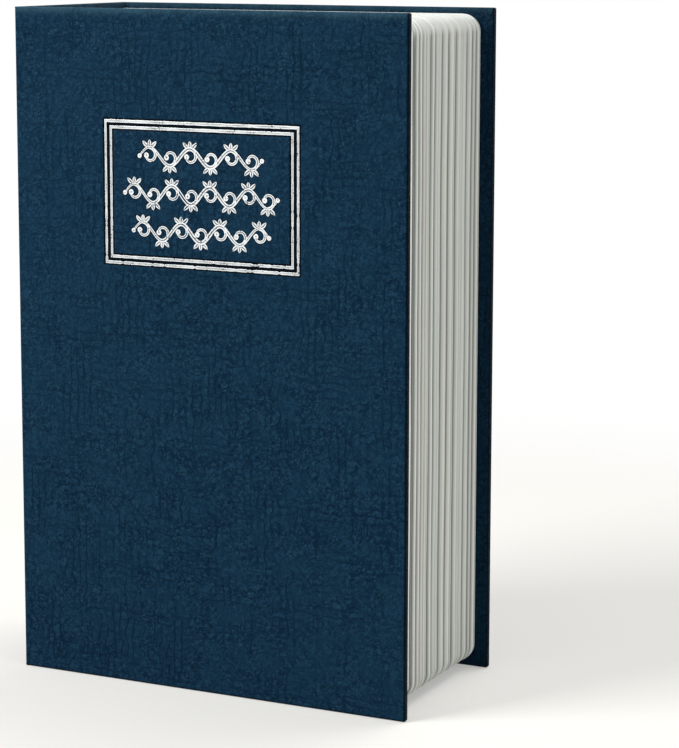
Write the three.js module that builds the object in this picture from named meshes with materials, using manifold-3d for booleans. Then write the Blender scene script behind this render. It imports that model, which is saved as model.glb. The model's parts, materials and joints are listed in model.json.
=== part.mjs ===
// A book diversion safe: a hardback case bound in leatherette over a moulded page block,
// with a steel box inside it that a combination lock closes.
// Millimetres. X runs from the spine (-X) to the fore edge (+X), Y from the front cover (-Y)
// to the back cover (+Y), and Z up the height. The origin is the centre of the base.

import * as THREE from 'three';
import { mergeVertices } from 'three/addons/utils/BufferGeometryUtils.js';
import { ConvexGeometry } from 'three/addons/geometries/ConvexGeometry.js';
import Module from 'manifold-3d';

const wasm = await Module();
wasm.setup();

// Case binding
const bookWidth = 115;
const bookThickness = 56;
const bookHeight = 180;
const coverThickness = 2;
const leatherThickness = 0.4;
const liningThickness = 0.2;
const glueLine = 0.05;
const turnInWidth = 6;
const jointStripWidth = 7;
const jointGap = 0.3;

// Foil stamped on the front cover
const foilWidth = 57.4;
const foilHeight = 38;
const foilLeftInset = 27.5;
const foilTopInset = 28.8;
const foilLineWidth = 0.8;
const foilLineGap = 0.8;
const foilDepth = 0.15;
const foilSink = 0.05;
const panelMargin = 0.6;
const topScrollDrop = 9.2;
const topScrollLength = 36;
const middleScrollDrop = 19;
const middleScrollLength = 45;
const bottomScrollDrop = 28.8;
const bottomScrollLength = 40;
const scrollRows = [
    { name: 'foil_scroll_top', drop: topScrollDrop, length: topScrollLength, turns: 6 },
    { name: 'foil_scroll_middle', drop: middleScrollDrop, length: middleScrollLength, turns: 8 },
    { name: 'foil_scroll_bottom', drop: bottomScrollDrop, length: bottomScrollLength, turns: 7 },
];
const scrollSwing = 2.3;
const stemEndWidth = 0.35;
const stemWidth = 0.7;
const curlStartRadius = 2.1;
const curlEndRadius = 0.9;
const curlSweep = 1.5 * Math.PI;
const curlWidth = 0.5;
const curlEndWidth = 0.3;
const budRadius = 0.65;

// Page block
const foreEdgeOverhang = 3.4;
const headOverhang = 1.6;
const tailOverhang = 1.6;
const spineGap = 0.5;
const coverGap = 0.3;
const pageCornerRadius = 5;
const foreEdgeDepth = 7.3;
const headDepth = 8.2;
const pageWall = 1.8;
const pageFlange = 1.5;
const pageGrooveWidth = 0.7;
const pageGrooveDepth = 0.45;
const pageGrooves = [-22.9, -16.5, -13.2, -11, -5.9, -3.4, 1.1, 5.2, 9.9, 14.3, 16.9, 20.6, 23];
const bossRadius = 2.6;

// Steel box
const sheet = 1;
const boxClearance = 0.3;
const lidSetback = 1.5;
const rimGap = 0.3;
const lidEdgeGap = 0.1;
const lidFlangeDepth = 4;
const lidFlangeGap = 0.4;
const weldLine = 0.05;
const adhesiveThickness = 0.5;
const adhesiveMargin = 12;

// Lid hinge
const hingePinRadius = 0.9;
const hingePinPlay = 0.1;
const knuckleRadius = 1.7;
const hingeLength = 120;
const knuckleCount = 5;
const knuckleGap = 0.3;
const leafThickness = 0.8;
const leafReach = 8;
const hingeInset = 2.4;
const hingeSetback = 2.1;
const pinHeadRadius = 1.5;
const pinHeadLength = 0.8;

// Recess in the lid that the lock stands in
const recessDepth = 9;
const recessRamp = 4.6;
const recessEndRamp = 2;
const recessLeftMargin = 2.2;
const recessRightMargin = 2.6;
const recessEndMargin = 3;

// Combination lock
const bezelWidth = 20;
const bezelHeight = 56;
const bezelThickness = 2;
const bezelRadius = 1.2;
const bezelBorder = 0.9;
const lockEdgeDistance = 13;
const plateThickness = 0.9;
const bodyWidth = 16;
const bodyTopInset = 4.5;
const bodyBottomInset = 5;
const bodyDepth = 9.5;
const bodyPlay = 0.2;
const backCoverThickness = 1.2;
const wheelRadius = 4.4;
const wheelHeight = 4.4;
const wheelPitch = 6.1;
const firstWheelDrop = 26.7;
const wheelOffset = -1.1;
const wheelSink = 0.45;
const wheelDigits = 10;
const wheelNotchDepth = 0.35;
const wheelNotchShare = 0.18;
const wheelWindowPlay = 0.2;
const wheelWindowReach = 3.6;
const wheelCount = 3;
const sleeveRadius = 2.4;
const axleRadius = 1.2;
const runningPlay = 0.1;
const chamberSideWall = 1.2;
const chamberEndPlay = 1;
const axleSeat = 2.5;
const landWidth = 3.2;
const landDepth = 0.3;
const indexLength = 2.3;
const indexWidth = 0.65;
const indexThickness = 0.15;
const springThickness = 0.4;
const springFingerHeight = 2.4;
const springGap = 0.35;

// Knob, spindle and cam
const knobDrop = 10.4;
const knobBaseRadius = 7.4;
const knobBaseHeight = 1.6;
const knobRadius = 6.1;
const knobHeight = 5.2;
const knobRise = 0.3;
const knobChamfer = 0.5;
const gripWidth = 2.2;
const gripDepth = 0.8;
const gripTilt = -0.35;
const spindleRadius = 2.9;
const spindlePlay = 0.3;
const spindleSquare = 3.6;
const spindleThreadRadius = 1.6;
const knobSocketDepth = 3;
const camThickness = 1.5;
const camReach = 20.5;
const camWidth = 8;
const camHubRadius = 5;
const camGap = 0.4;
const nutRadius = 3;
const nutThickness = 1.8;
const threadTail = 0.6;

// Strike that the cam turns under
const strikeReach = 7;
const strikeHeight = 16;
const strikeLeg = 7;

// Fence and code lever inside the lock
const fenceWidth = 2.4;
const fenceThickness = 0.6;
const fenceTravel = 1.5;
const fenceGap = 0.3;
const leverOffset = 4.5;
const leverDrop = 33;
const leverStem = 1.4;
const leverFoot = 2.4;
const leverFootThickness = 1;
const leverPadWidth = 3;
const leverPadHeight = 4;
const leverPadThickness = 1.2;
const leverTravel = 2.5;
const leverPlay = 0.3;

// Screws
const screwRadius = 1;
const screwHeadRadius = 2;
const screwHeadHeight = 1.1;
const lowHeadHeight = 0.4;
const screwPlay = 0.2;
const pageScrewLength = 5;
const coverScrewLength = 4;
const screwSlotWidth = 0.5;
const screwSlotDepth = 0.4;

const roundSides = 32;
const smallSides = 20;
const overcut = 1;

// Planes of the case
const spineX = -bookWidth / 2;
const foreX = bookWidth / 2;
const frontY = -bookThickness / 2;
const backY = bookThickness / 2;
const frontInnerY = frontY + coverThickness;
const backInnerY = backY - coverThickness;
const spineInnerX = spineX + coverThickness;
const midZ = bookHeight / 2;

// Planes of the page block
const pageX0 = spineInnerX + spineGap;
const pageX1 = foreX - foreEdgeOverhang;
const pageY0 = frontInnerY + coverGap;
const pageY1 = backInnerY - glueLine;
const pageZ0 = tailOverhang;
const pageZ1 = bookHeight - headOverhang;
const holeX1 = pageX1 - foreEdgeDepth;
const holeZ0 = pageZ0 + headDepth;
const holeZ1 = pageZ1 - headDepth;

// Planes of the steel box
const trayX0 = pageX0;
const trayX1 = holeX1 - boxClearance;
const trayZ0 = holeZ0 + boxClearance;
const trayZ1 = holeZ1 - boxClearance;
const trayY1 = backInnerY - 2 * glueLine - adhesiveThickness;
const trayInnerX0 = trayX0 + sheet;
const trayInnerX1 = trayX1 - sheet;
const trayInnerZ0 = trayZ0 + sheet;
const trayInnerZ1 = trayZ1 - sheet;
const trayFloorY = trayY1 - sheet;
const lidY0 = frontInnerY + lidSetback;
const lidY1 = lidY0 + sheet;
const rimY = lidY1 + rimGap;

// Hinge axis and the edge of the lid beside it
const hingeX = trayX0 + hingeInset;
const hingeY = frontInnerY + hingeSetback;
const lidX0 = hingeX + knuckleRadius + knuckleGap + hingePinPlay;
const lidX1 = trayX1 - lidEdgeGap;
const lidZ0 = trayZ0 + lidEdgeGap;
const lidZ1 = trayZ1 - lidEdgeGap;
const hingeZ0 = midZ - hingeLength / 2;
const knucklePitch = (hingeLength + knuckleGap) / knuckleCount;

// Planes of the lock, which stands on the recess floor
const lockX = lidX1 - lockEdgeDistance - bezelWidth / 2;
const bezelZ0 = midZ - bezelHeight / 2;
const bezelZ1 = midZ + bezelHeight / 2;
const recessY = lidY0 + recessDepth;
const recessBackY = recessY + sheet;
const bezelY1 = recessY - weldLine;
const bezelY0 = bezelY1 - bezelThickness;
const plateY1 = bezelY0 - weldLine;
const plateY0 = plateY1 - plateThickness;
const bodyY0 = bezelY0;
const bodyY1 = bodyY0 + bodyDepth;
const bodyX0 = lockX - bodyWidth / 2;
const bodyX1 = lockX + bodyWidth / 2;
const bodyZ0 = bezelZ0 + bodyBottomInset;
const bodyZ1 = bezelZ1 - bodyTopInset;
const backCoverY0 = bodyY1 + weldLine;
const backCoverY1 = backCoverY0 + backCoverThickness;
const wheelX = lockX + wheelOffset;
const wheelY = plateY0 + wheelSink + wheelRadius;
const wheelZs = Array.from({ length: wheelCount }, (_, i) => bezelZ1 - firstWheelDrop - i * wheelPitch);
const wheelsTopZ = wheelZs[0] + wheelHeight / 2;
const wheelsBottomZ = wheelZs[wheelCount - 1] - wheelHeight / 2;
const chamberZ0 = wheelsBottomZ - chamberEndPlay;
const chamberZ1 = wheelsTopZ + chamberEndPlay;
const knobZ = bezelZ1 - knobDrop;
const knobY1 = plateY0 - knobRise;
const knobY0 = knobY1 - knobHeight;
const camY0 = backCoverY1 + camGap;
const camY1 = camY0 + camThickness;
const nutY0 = camY1 + weldLine;
const nutY1 = nutY0 + nutThickness;
const spindleY1 = nutY1 + threadTail;
const leverX = lockX + leverOffset;
const leverZ = bezelZ1 - leverDrop;
const fenceY0 = wheelY + wheelRadius + fenceGap;
const fenceY1 = fenceY0 + fenceThickness;

const looks = {
    leatherette: { color: 0x112c41, roughness: 0.6, metalness: 0 },
    greyboard: { color: 0x8a8478, roughness: 0.95, metalness: 0 },
    lining: { color: 0x14181e, roughness: 0.9, metalness: 0 },
    foil: { color: 0xc9cdd0, roughness: 0.35, metalness: 0.9 },
    pages: { color: 0xd6dad4, roughness: 0.7, metalness: 0 },
    hammertone: { color: 0x55564f, roughness: 0.4, metalness: 0.3 },
    steel: { color: 0xa6a8a8, roughness: 0.35, metalness: 1 },
    gold: { color: 0xc9964a, roughness: 0.3, metalness: 0.9 },
    blackPlastic: { color: 0x1d1d1c, roughness: 0.5, metalness: 0 },
    whitePaint: { color: 0xeeeeea, roughness: 0.6, metalness: 0 },
    adhesive: { color: 0xd8d2c0, roughness: 0.8, metalness: 0 },
};

const object = new THREE.Group();

function solidOf(geometry) {
    const bare = geometry.clone();
    bare.deleteAttribute('normal');
    bare.deleteAttribute('uv');
    const merged = mergeVertices(bare, 1e-5);
    return new wasm.Manifold(new wasm.Mesh({
        numProp: 3,
        vertProperties: new Float32Array(merged.attributes.position.array),
        triVerts: new Uint32Array(merged.index.array),
    }));
}

function geometryOf(solid) {
    const mesh = solid.getMesh();
    const geometry = new THREE.BufferGeometry();
    geometry.setAttribute('position', new THREE.BufferAttribute(mesh.vertProperties, 3));
    geometry.setIndex(new THREE.BufferAttribute(mesh.triVerts, 1));
    geometry.computeVertexNormals();
    return geometry;
}

function addPiece(name, look, solid) {
    const mesh = new THREE.Mesh(geometryOf(solid), new THREE.MeshStandardMaterial(looks[look]));
    mesh.name = name;
    object.add(mesh);
}

// Moves each vertex of a geometry to place(x, y, z) and makes it a solid.
function placedSolid(geometry, place) {
    const position = geometry.attributes.position;
    for (let i = 0; i < position.count; i += 1) {
        position.setXYZ(i, ...place(position.getX(i), position.getY(i), position.getZ(i)));
    }
    return solidOf(geometry);
}

// A box between two corners.
function block(x0, x1, y0, y1, z0, z1) {
    const pick = (value, low, high) => (value < 0 ? Math.min(low, high) : Math.max(low, high));
    return placedSolid(new THREE.BoxGeometry(1, 1, 1), (x, y, z) => [
        pick(x, x0, x1),
        pick(y, y0, y1),
        pick(z, z0, z1),
    ]);
}

// A cylinder between two stations along Y, at (x, z); a second radius makes it a cone.
function rodY(x, z, y0, y1, radius, sides = roundSides, endRadius = radius) {
    const geometry = new THREE.CylinderGeometry(endRadius, radius, 1, sides);
    return placedSolid(geometry, (u, v, w) => [x + u, v < 0 ? y0 : y1, z + w]);
}

function rodZ(x, y, z0, z1, radius, sides = roundSides) {
    const geometry = new THREE.CylinderGeometry(radius, radius, 1, sides);
    return placedSolid(geometry, (u, v, w) => [x + u, y - w, v < 0 ? z0 : z1]);
}

function rodX(y, z, x0, x1, radius, sides = roundSides) {
    const geometry = new THREE.CylinderGeometry(radius, radius, 1, sides);
    return placedSolid(geometry, (u, v, w) => [v < 0 ? x0 : x1, y - u, z + w]);
}

// A shape drawn in X and Z, carried along Y from y0 to y1.
function slabOf(shape, y0, y1, curveSegments = 6) {
    const settings = { depth: 1, bevelEnabled: false, curveSegments };
    const geometry = new THREE.ExtrudeGeometry(shape, settings);
    return placedSolid(geometry, (x, y, z) => [x, z > 0.5 ? y0 : y1, y]);
}

// A shape drawn in X and Y, carried along Z from z0 to z1.
function prismOf(shape, z0, z1) {
    const settings = { depth: 1, bevelEnabled: false };
    const geometry = new THREE.ExtrudeGeometry(shape, settings);
    return placedSolid(geometry, (x, y, z) => [x, y, z > 0.5 ? z1 : z0]);
}

// A rectangle whose left and right corners are rounded by their own radii.
function roundedRectangle(x0, x1, z0, z1, leftRadius, rightRadius) {
    const shape = new THREE.Shape();
    shape.moveTo(x0 + leftRadius, z0);
    shape.lineTo(x1 - rightRadius, z0);
    if (rightRadius > 0) shape.absarc(x1 - rightRadius, z0 + rightRadius, rightRadius, -Math.PI / 2, 0);
    shape.lineTo(x1, z1 - rightRadius);
    if (rightRadius > 0) shape.absarc(x1 - rightRadius, z1 - rightRadius, rightRadius, 0, Math.PI / 2);
    shape.lineTo(x0 + leftRadius, z1);
    if (leftRadius > 0) shape.absarc(x0 + leftRadius, z1 - leftRadius, leftRadius, Math.PI / 2, Math.PI);
    shape.lineTo(x0, z0 + leftRadius);
    if (leftRadius > 0) shape.absarc(x0 + leftRadius, z0 + leftRadius, leftRadius, Math.PI, 1.5 * Math.PI);
    return shape;
}

// A solid with a rectangle at each of two Y stations and straight sides between them.
function taperedBlock(front, frontStation, rear, rearStation) {
    const corners = [];
    for (const [rect, y] of [[front, frontStation], [rear, rearStation]]) {
        for (const x of [rect.x0, rect.x1]) {
            for (const z of [rect.z0, rect.z1]) corners.push(new THREE.Vector3(x, y, z));
        }
    }
    return solidOf(new ConvexGeometry(corners));
}

function union(solids) {
    return solids.reduce((whole, next) => whole.add(next));
}

function cut(solid, tools) {
    return tools.reduce((whole, tool) => whole.subtract(tool), solid);
}

// One cover of the case. Its leatherette wraps round the head, tail and fore edge of the board
// and is turned in on the inside, where the lining covers the rest of the board.
function addCover(name, outerY, inward) {
    const innerY = outerY + inward * coverThickness;
    const sheetY = outerY + inward * leatherThickness;
    const liningY = innerY - inward * liningThickness;
    const wrapX0 = spineX + jointStripWidth + glueLine;
    const boardX0 = spineX + leatherThickness + glueLine;
    const boardX1 = foreX - leatherThickness - glueLine;
    const boardZ0 = leatherThickness + glueLine;
    const boardZ1 = bookHeight - leatherThickness - glueLine;

    const boardSpace = block(
        wrapX0 - overcut, foreX - leatherThickness,
        sheetY, liningY,
        leatherThickness, bookHeight - leatherThickness,
    );
    const liningSpace = block(
        wrapX0 - overcut, foreX - turnInWidth,
        sheetY, innerY + inward * overcut,
        turnInWidth, bookHeight - turnInWidth,
    );
    const wrap = cut(block(wrapX0, foreX, outerY, innerY, 0, bookHeight), [boardSpace, liningSpace]);
    const board = block(
        boardX0, boardX1,
        sheetY + inward * glueLine, liningY - inward * glueLine,
        boardZ0, boardZ1,
    );
    const lining = block(
        boardX0, foreX - turnInWidth - glueLine,
        liningY, innerY,
        turnInWidth + glueLine, bookHeight - turnInWidth - glueLine,
    );
    const strip = union([
        block(spineX, spineX + jointStripWidth, outerY, sheetY, 0, bookHeight),
        block(spineX, spineX + leatherThickness, outerY, innerY, 0, bookHeight),
    ]);

    addPiece(`${name}_cover_board`, 'greyboard', board);
    addPiece(`${name}_cover_lining`, 'lining', lining);
    addPiece(`${name}_joint_strip`, 'leatherette', strip);
    return wrap;
}

// The spine runs between the covers, free of both by the joint gap.
function addSpine() {
    const y0 = frontInnerY + jointGap;
    const y1 = backInnerY - jointGap;
    const sheetX = spineX + leatherThickness;
    const liningX = spineInnerX - liningThickness;
    const boardSpace = block(
        sheetX, liningX,
        y0 - overcut, y1 + overcut,
        leatherThickness, bookHeight - leatherThickness,
    );
    const liningSpace = block(
        sheetX, spineInnerX + overcut,
        y0 - overcut, y1 + overcut,
        turnInWidth, bookHeight - turnInWidth,
    );
    const wrap = cut(block(spineX, spineInnerX, y0, y1, 0, bookHeight), [boardSpace, liningSpace]);
    const board = block(
        sheetX + glueLine, liningX - glueLine,
        y0, y1,
        leatherThickness + glueLine, bookHeight - leatherThickness - glueLine,
    );
    const lining = block(
        liningX, spineInnerX,
        y0, y1,
        turnInWidth + glueLine, bookHeight - turnInWidth - glueLine,
    );
    addPiece('spine_leatherette', 'leatherette', wrap);
    addPiece('spine_board', 'greyboard', board);
    addPiece('spine_lining', 'lining', lining);
}

// A rectangular line of foil, set in from the outer rectangle of the stamping.
function foilLine(inset, y0, y1, growth = 0) {
    const x0 = spineX + foilLeftInset + inset;
    const x1 = spineX + foilLeftInset + foilWidth - inset;
    const z1 = bookHeight - foilTopInset - inset;
    const z0 = bookHeight - foilTopInset - foilHeight + inset;
    const outer = block(x0 - growth, x1 + growth, y0, y1, z0 - growth, z1 + growth);
    const reach = foilLineWidth + growth;
    const inner = block(x0 + reach, x1 - reach, y0 - overcut, y1 + overcut, z0 + reach, z1 - reach);
    return outer.subtract(inner);
}

// A ribbon along a path of { x, z, half } stations, half of its width to each side.
function ribbon(path, y0, y1) {
    const left = [];
    const right = [];
    path.forEach((point, i) => {
        const before = path[Math.max(i - 1, 0)];
        const after = path[Math.min(i + 1, path.length - 1)];
        const along = new THREE.Vector2(after.x - before.x, after.z - before.z).normalize();
        left.push(new THREE.Vector2(point.x - along.y * point.half, point.z + along.x * point.half));
        right.unshift(new THREE.Vector2(point.x + along.y * point.half, point.z - along.x * point.half));
    });
    return slabOf(new THREE.Shape([...left, ...right]), y0, y1);
}

// A vine: a stem that waves from side to side, with a curl that ends in a bud in each bend.
function scrollVine(row, y0, y1) {
    const startX = spineX + foilLeftInset + (foilWidth - row.length) / 2;
    const midlineZ = bookHeight - foilTopInset - row.drop;
    const bend = row.length / row.turns;
    const stepsPerBend = 6;
    const stem = [];
    for (let i = 0; i <= row.turns * stepsPerBend; i += 1) {
        const t = i / stepsPerBend;
        stem.push({
            x: startX + t * bend,
            z: midlineZ + scrollSwing * Math.sin(Math.PI * t),
            half: (stemEndWidth + (stemWidth - stemEndWidth) * Math.sin((Math.PI * t) / row.turns)) / 2,
        });
    }
    const solids = [ribbon(stem, y0, y1)];
    for (let i = 0; i < row.turns; i += 1) {
        const side = i % 2 === 0 ? 1 : -1;
        const centre = { x: startX + (i + 0.5) * bend, z: midlineZ + side * (scrollSwing - curlStartRadius) };
        const curlSteps = 9;
        const curl = [];
        for (let j = 0; j <= curlSteps; j += 1) {
            const t = j / curlSteps;
            const radius = curlStartRadius + (curlEndRadius - curlStartRadius) * t;
            const angle = side * (Math.PI / 2 - curlSweep * t);
            const half = (curlWidth + (curlEndWidth - curlWidth) * t) / 2;
            const x = centre.x + radius * Math.cos(angle);
            const z = centre.z + radius * Math.sin(angle);
            curl.push({ x, z, half });
        }
        const end = curl[curlSteps];
        solids.push(ribbon(curl, y0, y1));
        solids.push(rodY(end.x, end.z, y0, y1, budRadius, 8));
    }
    return union(solids);
}

// The stamping lies in shallow recesses of the leatherette, so it is never proud of the cover.
function addFrontStamping(wrap) {
    const floorY = frontY + foilSink + foilDepth;
    const foilY0 = frontY + foilSink;
    const foilY1 = floorY - glueLine / 2;
    const insets = [0, foilLineWidth + foilLineGap];
    const panelInset = insets[1] + foilLineWidth + panelMargin;
    const panel = block(
        spineX + foilLeftInset + panelInset, spineX + foilLeftInset + foilWidth - panelInset,
        frontY - overcut, floorY,
        bookHeight - foilTopInset - foilHeight + panelInset, bookHeight - foilTopInset - panelInset,
    );
    const grooves = insets.map((inset) => foilLine(inset, frontY - overcut, floorY, glueLine));
    addPiece('front_cover_leatherette', 'leatherette', cut(wrap, [panel, ...grooves]));
    addPiece('foil_frame_outer', 'foil', foilLine(insets[0], foilY0, foilY1));
    addPiece('foil_frame_inner', 'foil', foilLine(insets[1], foilY0, foilY1));
    for (const row of scrollRows) addPiece(row.name, 'foil', scrollVine(row, foilY0, foilY1));
}

// The outline of the page block, drawn in by a distance on every side.
function pageOutline(inset) {
    const radius = Math.max(pageCornerRadius - inset, 0);
    return roundedRectangle(pageX0 + inset, pageX1 - inset, pageZ0 + inset, pageZ1 - inset, 0, radius);
}

// Where the four screws hold the page block to the box: two in the fore edge, one each at
// the head and the tail. Each is a station across the wall, its axis, its direction and the
// depth of the pages there.
const pageScrewY = (rimY + trayFloorY) / 2;
const pageScrews = [
    { axis: 'x', at: midZ - (trayZ1 - trayZ0) / 3, wall: trayInnerX1, out: 1, depth: foreEdgeDepth },
    { axis: 'x', at: midZ + (trayZ1 - trayZ0) / 3, wall: trayInnerX1, out: 1, depth: foreEdgeDepth },
    { axis: 'z', at: (trayX0 + trayX1) / 2, wall: trayInnerZ0, out: -1, depth: headDepth },
    { axis: 'z', at: (trayX0 + trayX1) / 2, wall: trayInnerZ1, out: 1, depth: headDepth },
];

// A rod on a page screw's axis, from one distance to another beyond the wall's inner face.
function screwRod(screw, from, to, radius) {
    const [low, high] = [screw.wall + screw.out * from, screw.wall + screw.out * to].sort((a, b) => a - b);
    if (screw.axis === 'x') return rodX(pageScrewY, screw.at, low, high, radius, smallSides);
    return rodZ(screw.at, pageScrewY, low, high, radius, smallSides);
}

function addPageBlock() {
    const core = slabOf(pageOutline(pageGrooveDepth), pageY0, pageY1);
    const edges = [pageY0];
    for (const groove of pageGrooves) edges.push(groove - pageGrooveWidth / 2, groove + pageGrooveWidth / 2);
    edges.push(pageY1);
    const leaves = [];
    for (let i = 0; i < edges.length; i += 2) leaves.push(slabOf(pageOutline(0), edges[i], edges[i + 1]));
    const hollow = slabOf(pageOutline(pageWall), pageY0 + pageFlange, pageY1 - pageFlange);
    const boxSpace = block(
        pageX0 - overcut, holeX1,
        pageY0 - overcut, pageY1 + overcut,
        holeZ0, holeZ1,
    );
    const shell = cut(union([core, ...leaves]), [hollow, boxSpace]);
    const bossStart = sheet + boxClearance;
    const bosses = pageScrews.map((screw) => {
        const bossEnd = bossStart + screw.depth - pageWall / 2;
        return screwRod(screw, bossStart, bossEnd, bossRadius);
    });
    const boreEnd = pageScrewLength + screwPlay;
    const bores = pageScrews.map((screw) => screwRod(screw, 0, boreEnd, screwRadius + screwPlay));
    addPiece('page_frame', 'pages', cut(union([shell, ...bosses]), bores));
}

function addPageScrews() {
    pageScrews.forEach((screw, i) => {
        const head = screwRod(screw, -screwHeadHeight - weldLine, -weldLine, screwHeadRadius);
        const shank = screwRod(screw, -weldLine, pageScrewLength, screwRadius);
        addPiece(`page_frame_screw_${i + 1}`, 'steel', head.add(shank));
    });
}

// The tray is folded from sheet, open to the front. Its spine wall stops short of the hinge.
function addTray() {
    const outer = block(trayX0, trayX1, rimY, trayY1, trayZ0, trayZ1);
    const inner = block(
        trayInnerX0, trayInnerX1,
        rimY - overcut, trayFloorY,
        trayInnerZ0, trayInnerZ1,
    );
    const hingeSpace = block(
        trayX0 - overcut, hingeX + knuckleRadius,
        rimY - overcut, hingeY + knuckleRadius + knuckleGap + hingePinPlay,
        hingeZ0 - pinHeadLength - knuckleGap, hingeZ0 + hingeLength + pinHeadLength + knuckleGap,
    );
    const screwHoles = pageScrews.map((screw) => {
        return screwRod(screw, -overcut, sheet + overcut, screwRadius + screwPlay);
    });
    addPiece('tray', 'hammertone', cut(outer, [inner, hingeSpace, ...screwHoles]));
    addPiece('adhesive_sheet', 'adhesive', block(
        trayX0 + adhesiveMargin, trayX1 - adhesiveMargin,
        trayY1 + glueLine, trayY1 + glueLine + adhesiveThickness,
        trayZ0 + adhesiveMargin, trayZ1 - adhesiveMargin,
    ));
}

// The strike is an angle on the fore-edge wall. Its lip lies just in front of the cam's path.
function addStrike() {
    const x1 = trayInnerX1 - weldLine;
    const lipY1 = camY0 - camGap;
    const lip = block(
        x1 - strikeReach, x1,
        lipY1 - sheet, lipY1,
        knobZ - strikeHeight / 2, knobZ + strikeHeight / 2,
    );
    const leg = block(
        x1 - sheet, x1,
        lipY1 - strikeLeg, lipY1,
        knobZ - strikeHeight / 2, knobZ + strikeHeight / 2,
    );
    addPiece('strike_plate', 'hammertone', lip.add(leg));
}

// The knuckles of one hinge leaf: even ones belong to the tray, odd ones to the lid.
function knuckles(parity, tabX0, tabX1, tabY0, tabY1) {
    const solids = [];
    for (let i = parity; i < knuckleCount; i += 2) {
        const z0 = hingeZ0 + i * knucklePitch;
        const z1 = z0 + knucklePitch - knuckleGap;
        solids.push(rodZ(hingeX, hingeY, z0, z1, knuckleRadius, smallSides));
        solids.push(block(tabX0, tabX1, tabY0, tabY1, z0, z1));
    }
    return solids;
}

function addHinge() {
    const hingeZ1 = hingeZ0 + hingeLength;
    const clear = knuckleRadius + knuckleGap;
    const bore = rodZ(
        hingeX, hingeY,
        hingeZ0 - overcut, hingeZ1 + overcut,
        hingePinRadius + hingePinPlay, smallSides,
    );

    const trayLeafX0 = trayInnerX0 + weldLine;
    const trayLeafX1 = trayLeafX0 + leafThickness;
    const trayPlate = block(
        trayLeafX0, trayLeafX1,
        hingeY + clear, hingeY + clear + leafReach,
        hingeZ0, hingeZ1,
    );
    const trayKnuckles = knuckles(0, trayLeafX0, trayLeafX1, hingeY, hingeY + clear + weldLine);
    addPiece('tray_hinge_leaf', 'steel', union([trayPlate, ...trayKnuckles]).subtract(bore));

    const lidLeafY0 = lidY1 + weldLine;
    const lidLeafY1 = lidLeafY0 + leafThickness;
    const lidPlate = block(
        hingeX + clear, hingeX + clear + leafReach,
        lidLeafY0, lidLeafY1,
        hingeZ0, hingeZ1,
    );
    const lidKnuckles = knuckles(1, hingeX, hingeX + clear + weldLine, lidLeafY0, lidLeafY1);
    addPiece('lid_hinge_leaf', 'steel', union([lidPlate, ...lidKnuckles]).subtract(bore));

    const headGap = knuckleGap / 2;
    addPiece('hinge_pin', 'steel', union([
        rodZ(hingeX, hingeY, hingeZ0 - headGap, hingeZ1 + headGap, hingePinRadius, smallSides),
        rodZ(hingeX, hingeY, hingeZ0 - headGap - pinHeadLength, hingeZ0 - headGap, pinHeadRadius, smallSides),
        rodZ(hingeX, hingeY, hingeZ1 + headGap, hingeZ1 + headGap + pinHeadLength, pinHeadRadius, smallSides),
    ]));
}

// The floor of the recess, and the same rectangle spread out by its ramps.
const recessFloor = {
    x0: lockX - bezelWidth / 2 - recessLeftMargin,
    x1: lockX + bezelWidth / 2 + recessRightMargin,
    z0: bezelZ0 - recessEndMargin,
    z1: bezelZ1 + recessEndMargin,
};

function spread(rect, sides, ends) {
    return { x0: rect.x0 - sides, x1: rect.x1 + sides, z0: rect.z0 - ends, z1: rect.z1 + ends };
}

// The lid is one pressed sheet with a turned-down rim on three sides, and a sunk recess that
// lets the lock and its knob lie below the cover.
function addLid() {
    const ramp = recessRamp / recessDepth;
    const endRamp = recessEndRamp / recessDepth;
    const sideWall = sheet * Math.hypot(1, ramp);
    const endWall = sheet * Math.hypot(1, endRamp);
    const reach = recessDepth + overcut;
    const mouth = spread(recessFloor, ramp * reach, endRamp * reach);
    const outerMouth = spread(recessFloor, recessRamp + sideWall, recessEndRamp + endWall);
    const outerFloor = spread(recessFloor, sideWall - ramp * sheet, endWall - endRamp * sheet);
    const sunk = taperedBlock(mouth, lidY0 - overcut, recessFloor, recessY);
    const sunkOuter = taperedBlock(outerMouth, lidY0, outerFloor, recessBackY);

    const rimX1 = trayInnerX1 - lidFlangeGap;
    const rimZ0 = trayInnerZ0 + lidFlangeGap;
    const rimZ1 = trayInnerZ1 - lidFlangeGap;
    const rim = block(lidX0, rimX1, lidY0, lidY0 + lidFlangeDepth, rimZ0, rimZ1);
    const rimInside = block(
        lidX0 - overcut, rimX1 - sheet,
        lidY1, lidY0 + lidFlangeDepth + overcut,
        rimZ0 + sheet, rimZ1 - sheet,
    );
    const plate = block(lidX0, lidX1, lidY0, lidY1, lidZ0, lidZ1);
    const bodyHole = block(
        bodyX0 - bodyPlay, bodyX1 + bodyPlay,
        recessY - overcut, recessBackY + overcut,
        bodyZ0 - bodyPlay, bodyZ1 + bodyPlay,
    );
    const screwHoles = lockScrewZs.map((z) => {
        return rodY(lockX, z, recessY - overcut, recessBackY + overcut, screwRadius + screwPlay, smallSides);
    });
    const pressed = union([plate, rim.subtract(rimInside), sunkOuter]);
    addPiece('lid', 'hammertone', cut(pressed, [sunk, bodyHole, ...screwHoles]));
}

// The two screws that clamp the bezel stand in the middle of the strips above and below the body.
const lockScrewZs = [
    (bezelZ0 + bodyZ0 - bodyPlay) / 2,
    (bezelZ1 + bodyZ1 + bodyPlay) / 2,
];
const lockScrewEnd = bezelY0 + bezelThickness / 4;

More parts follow.
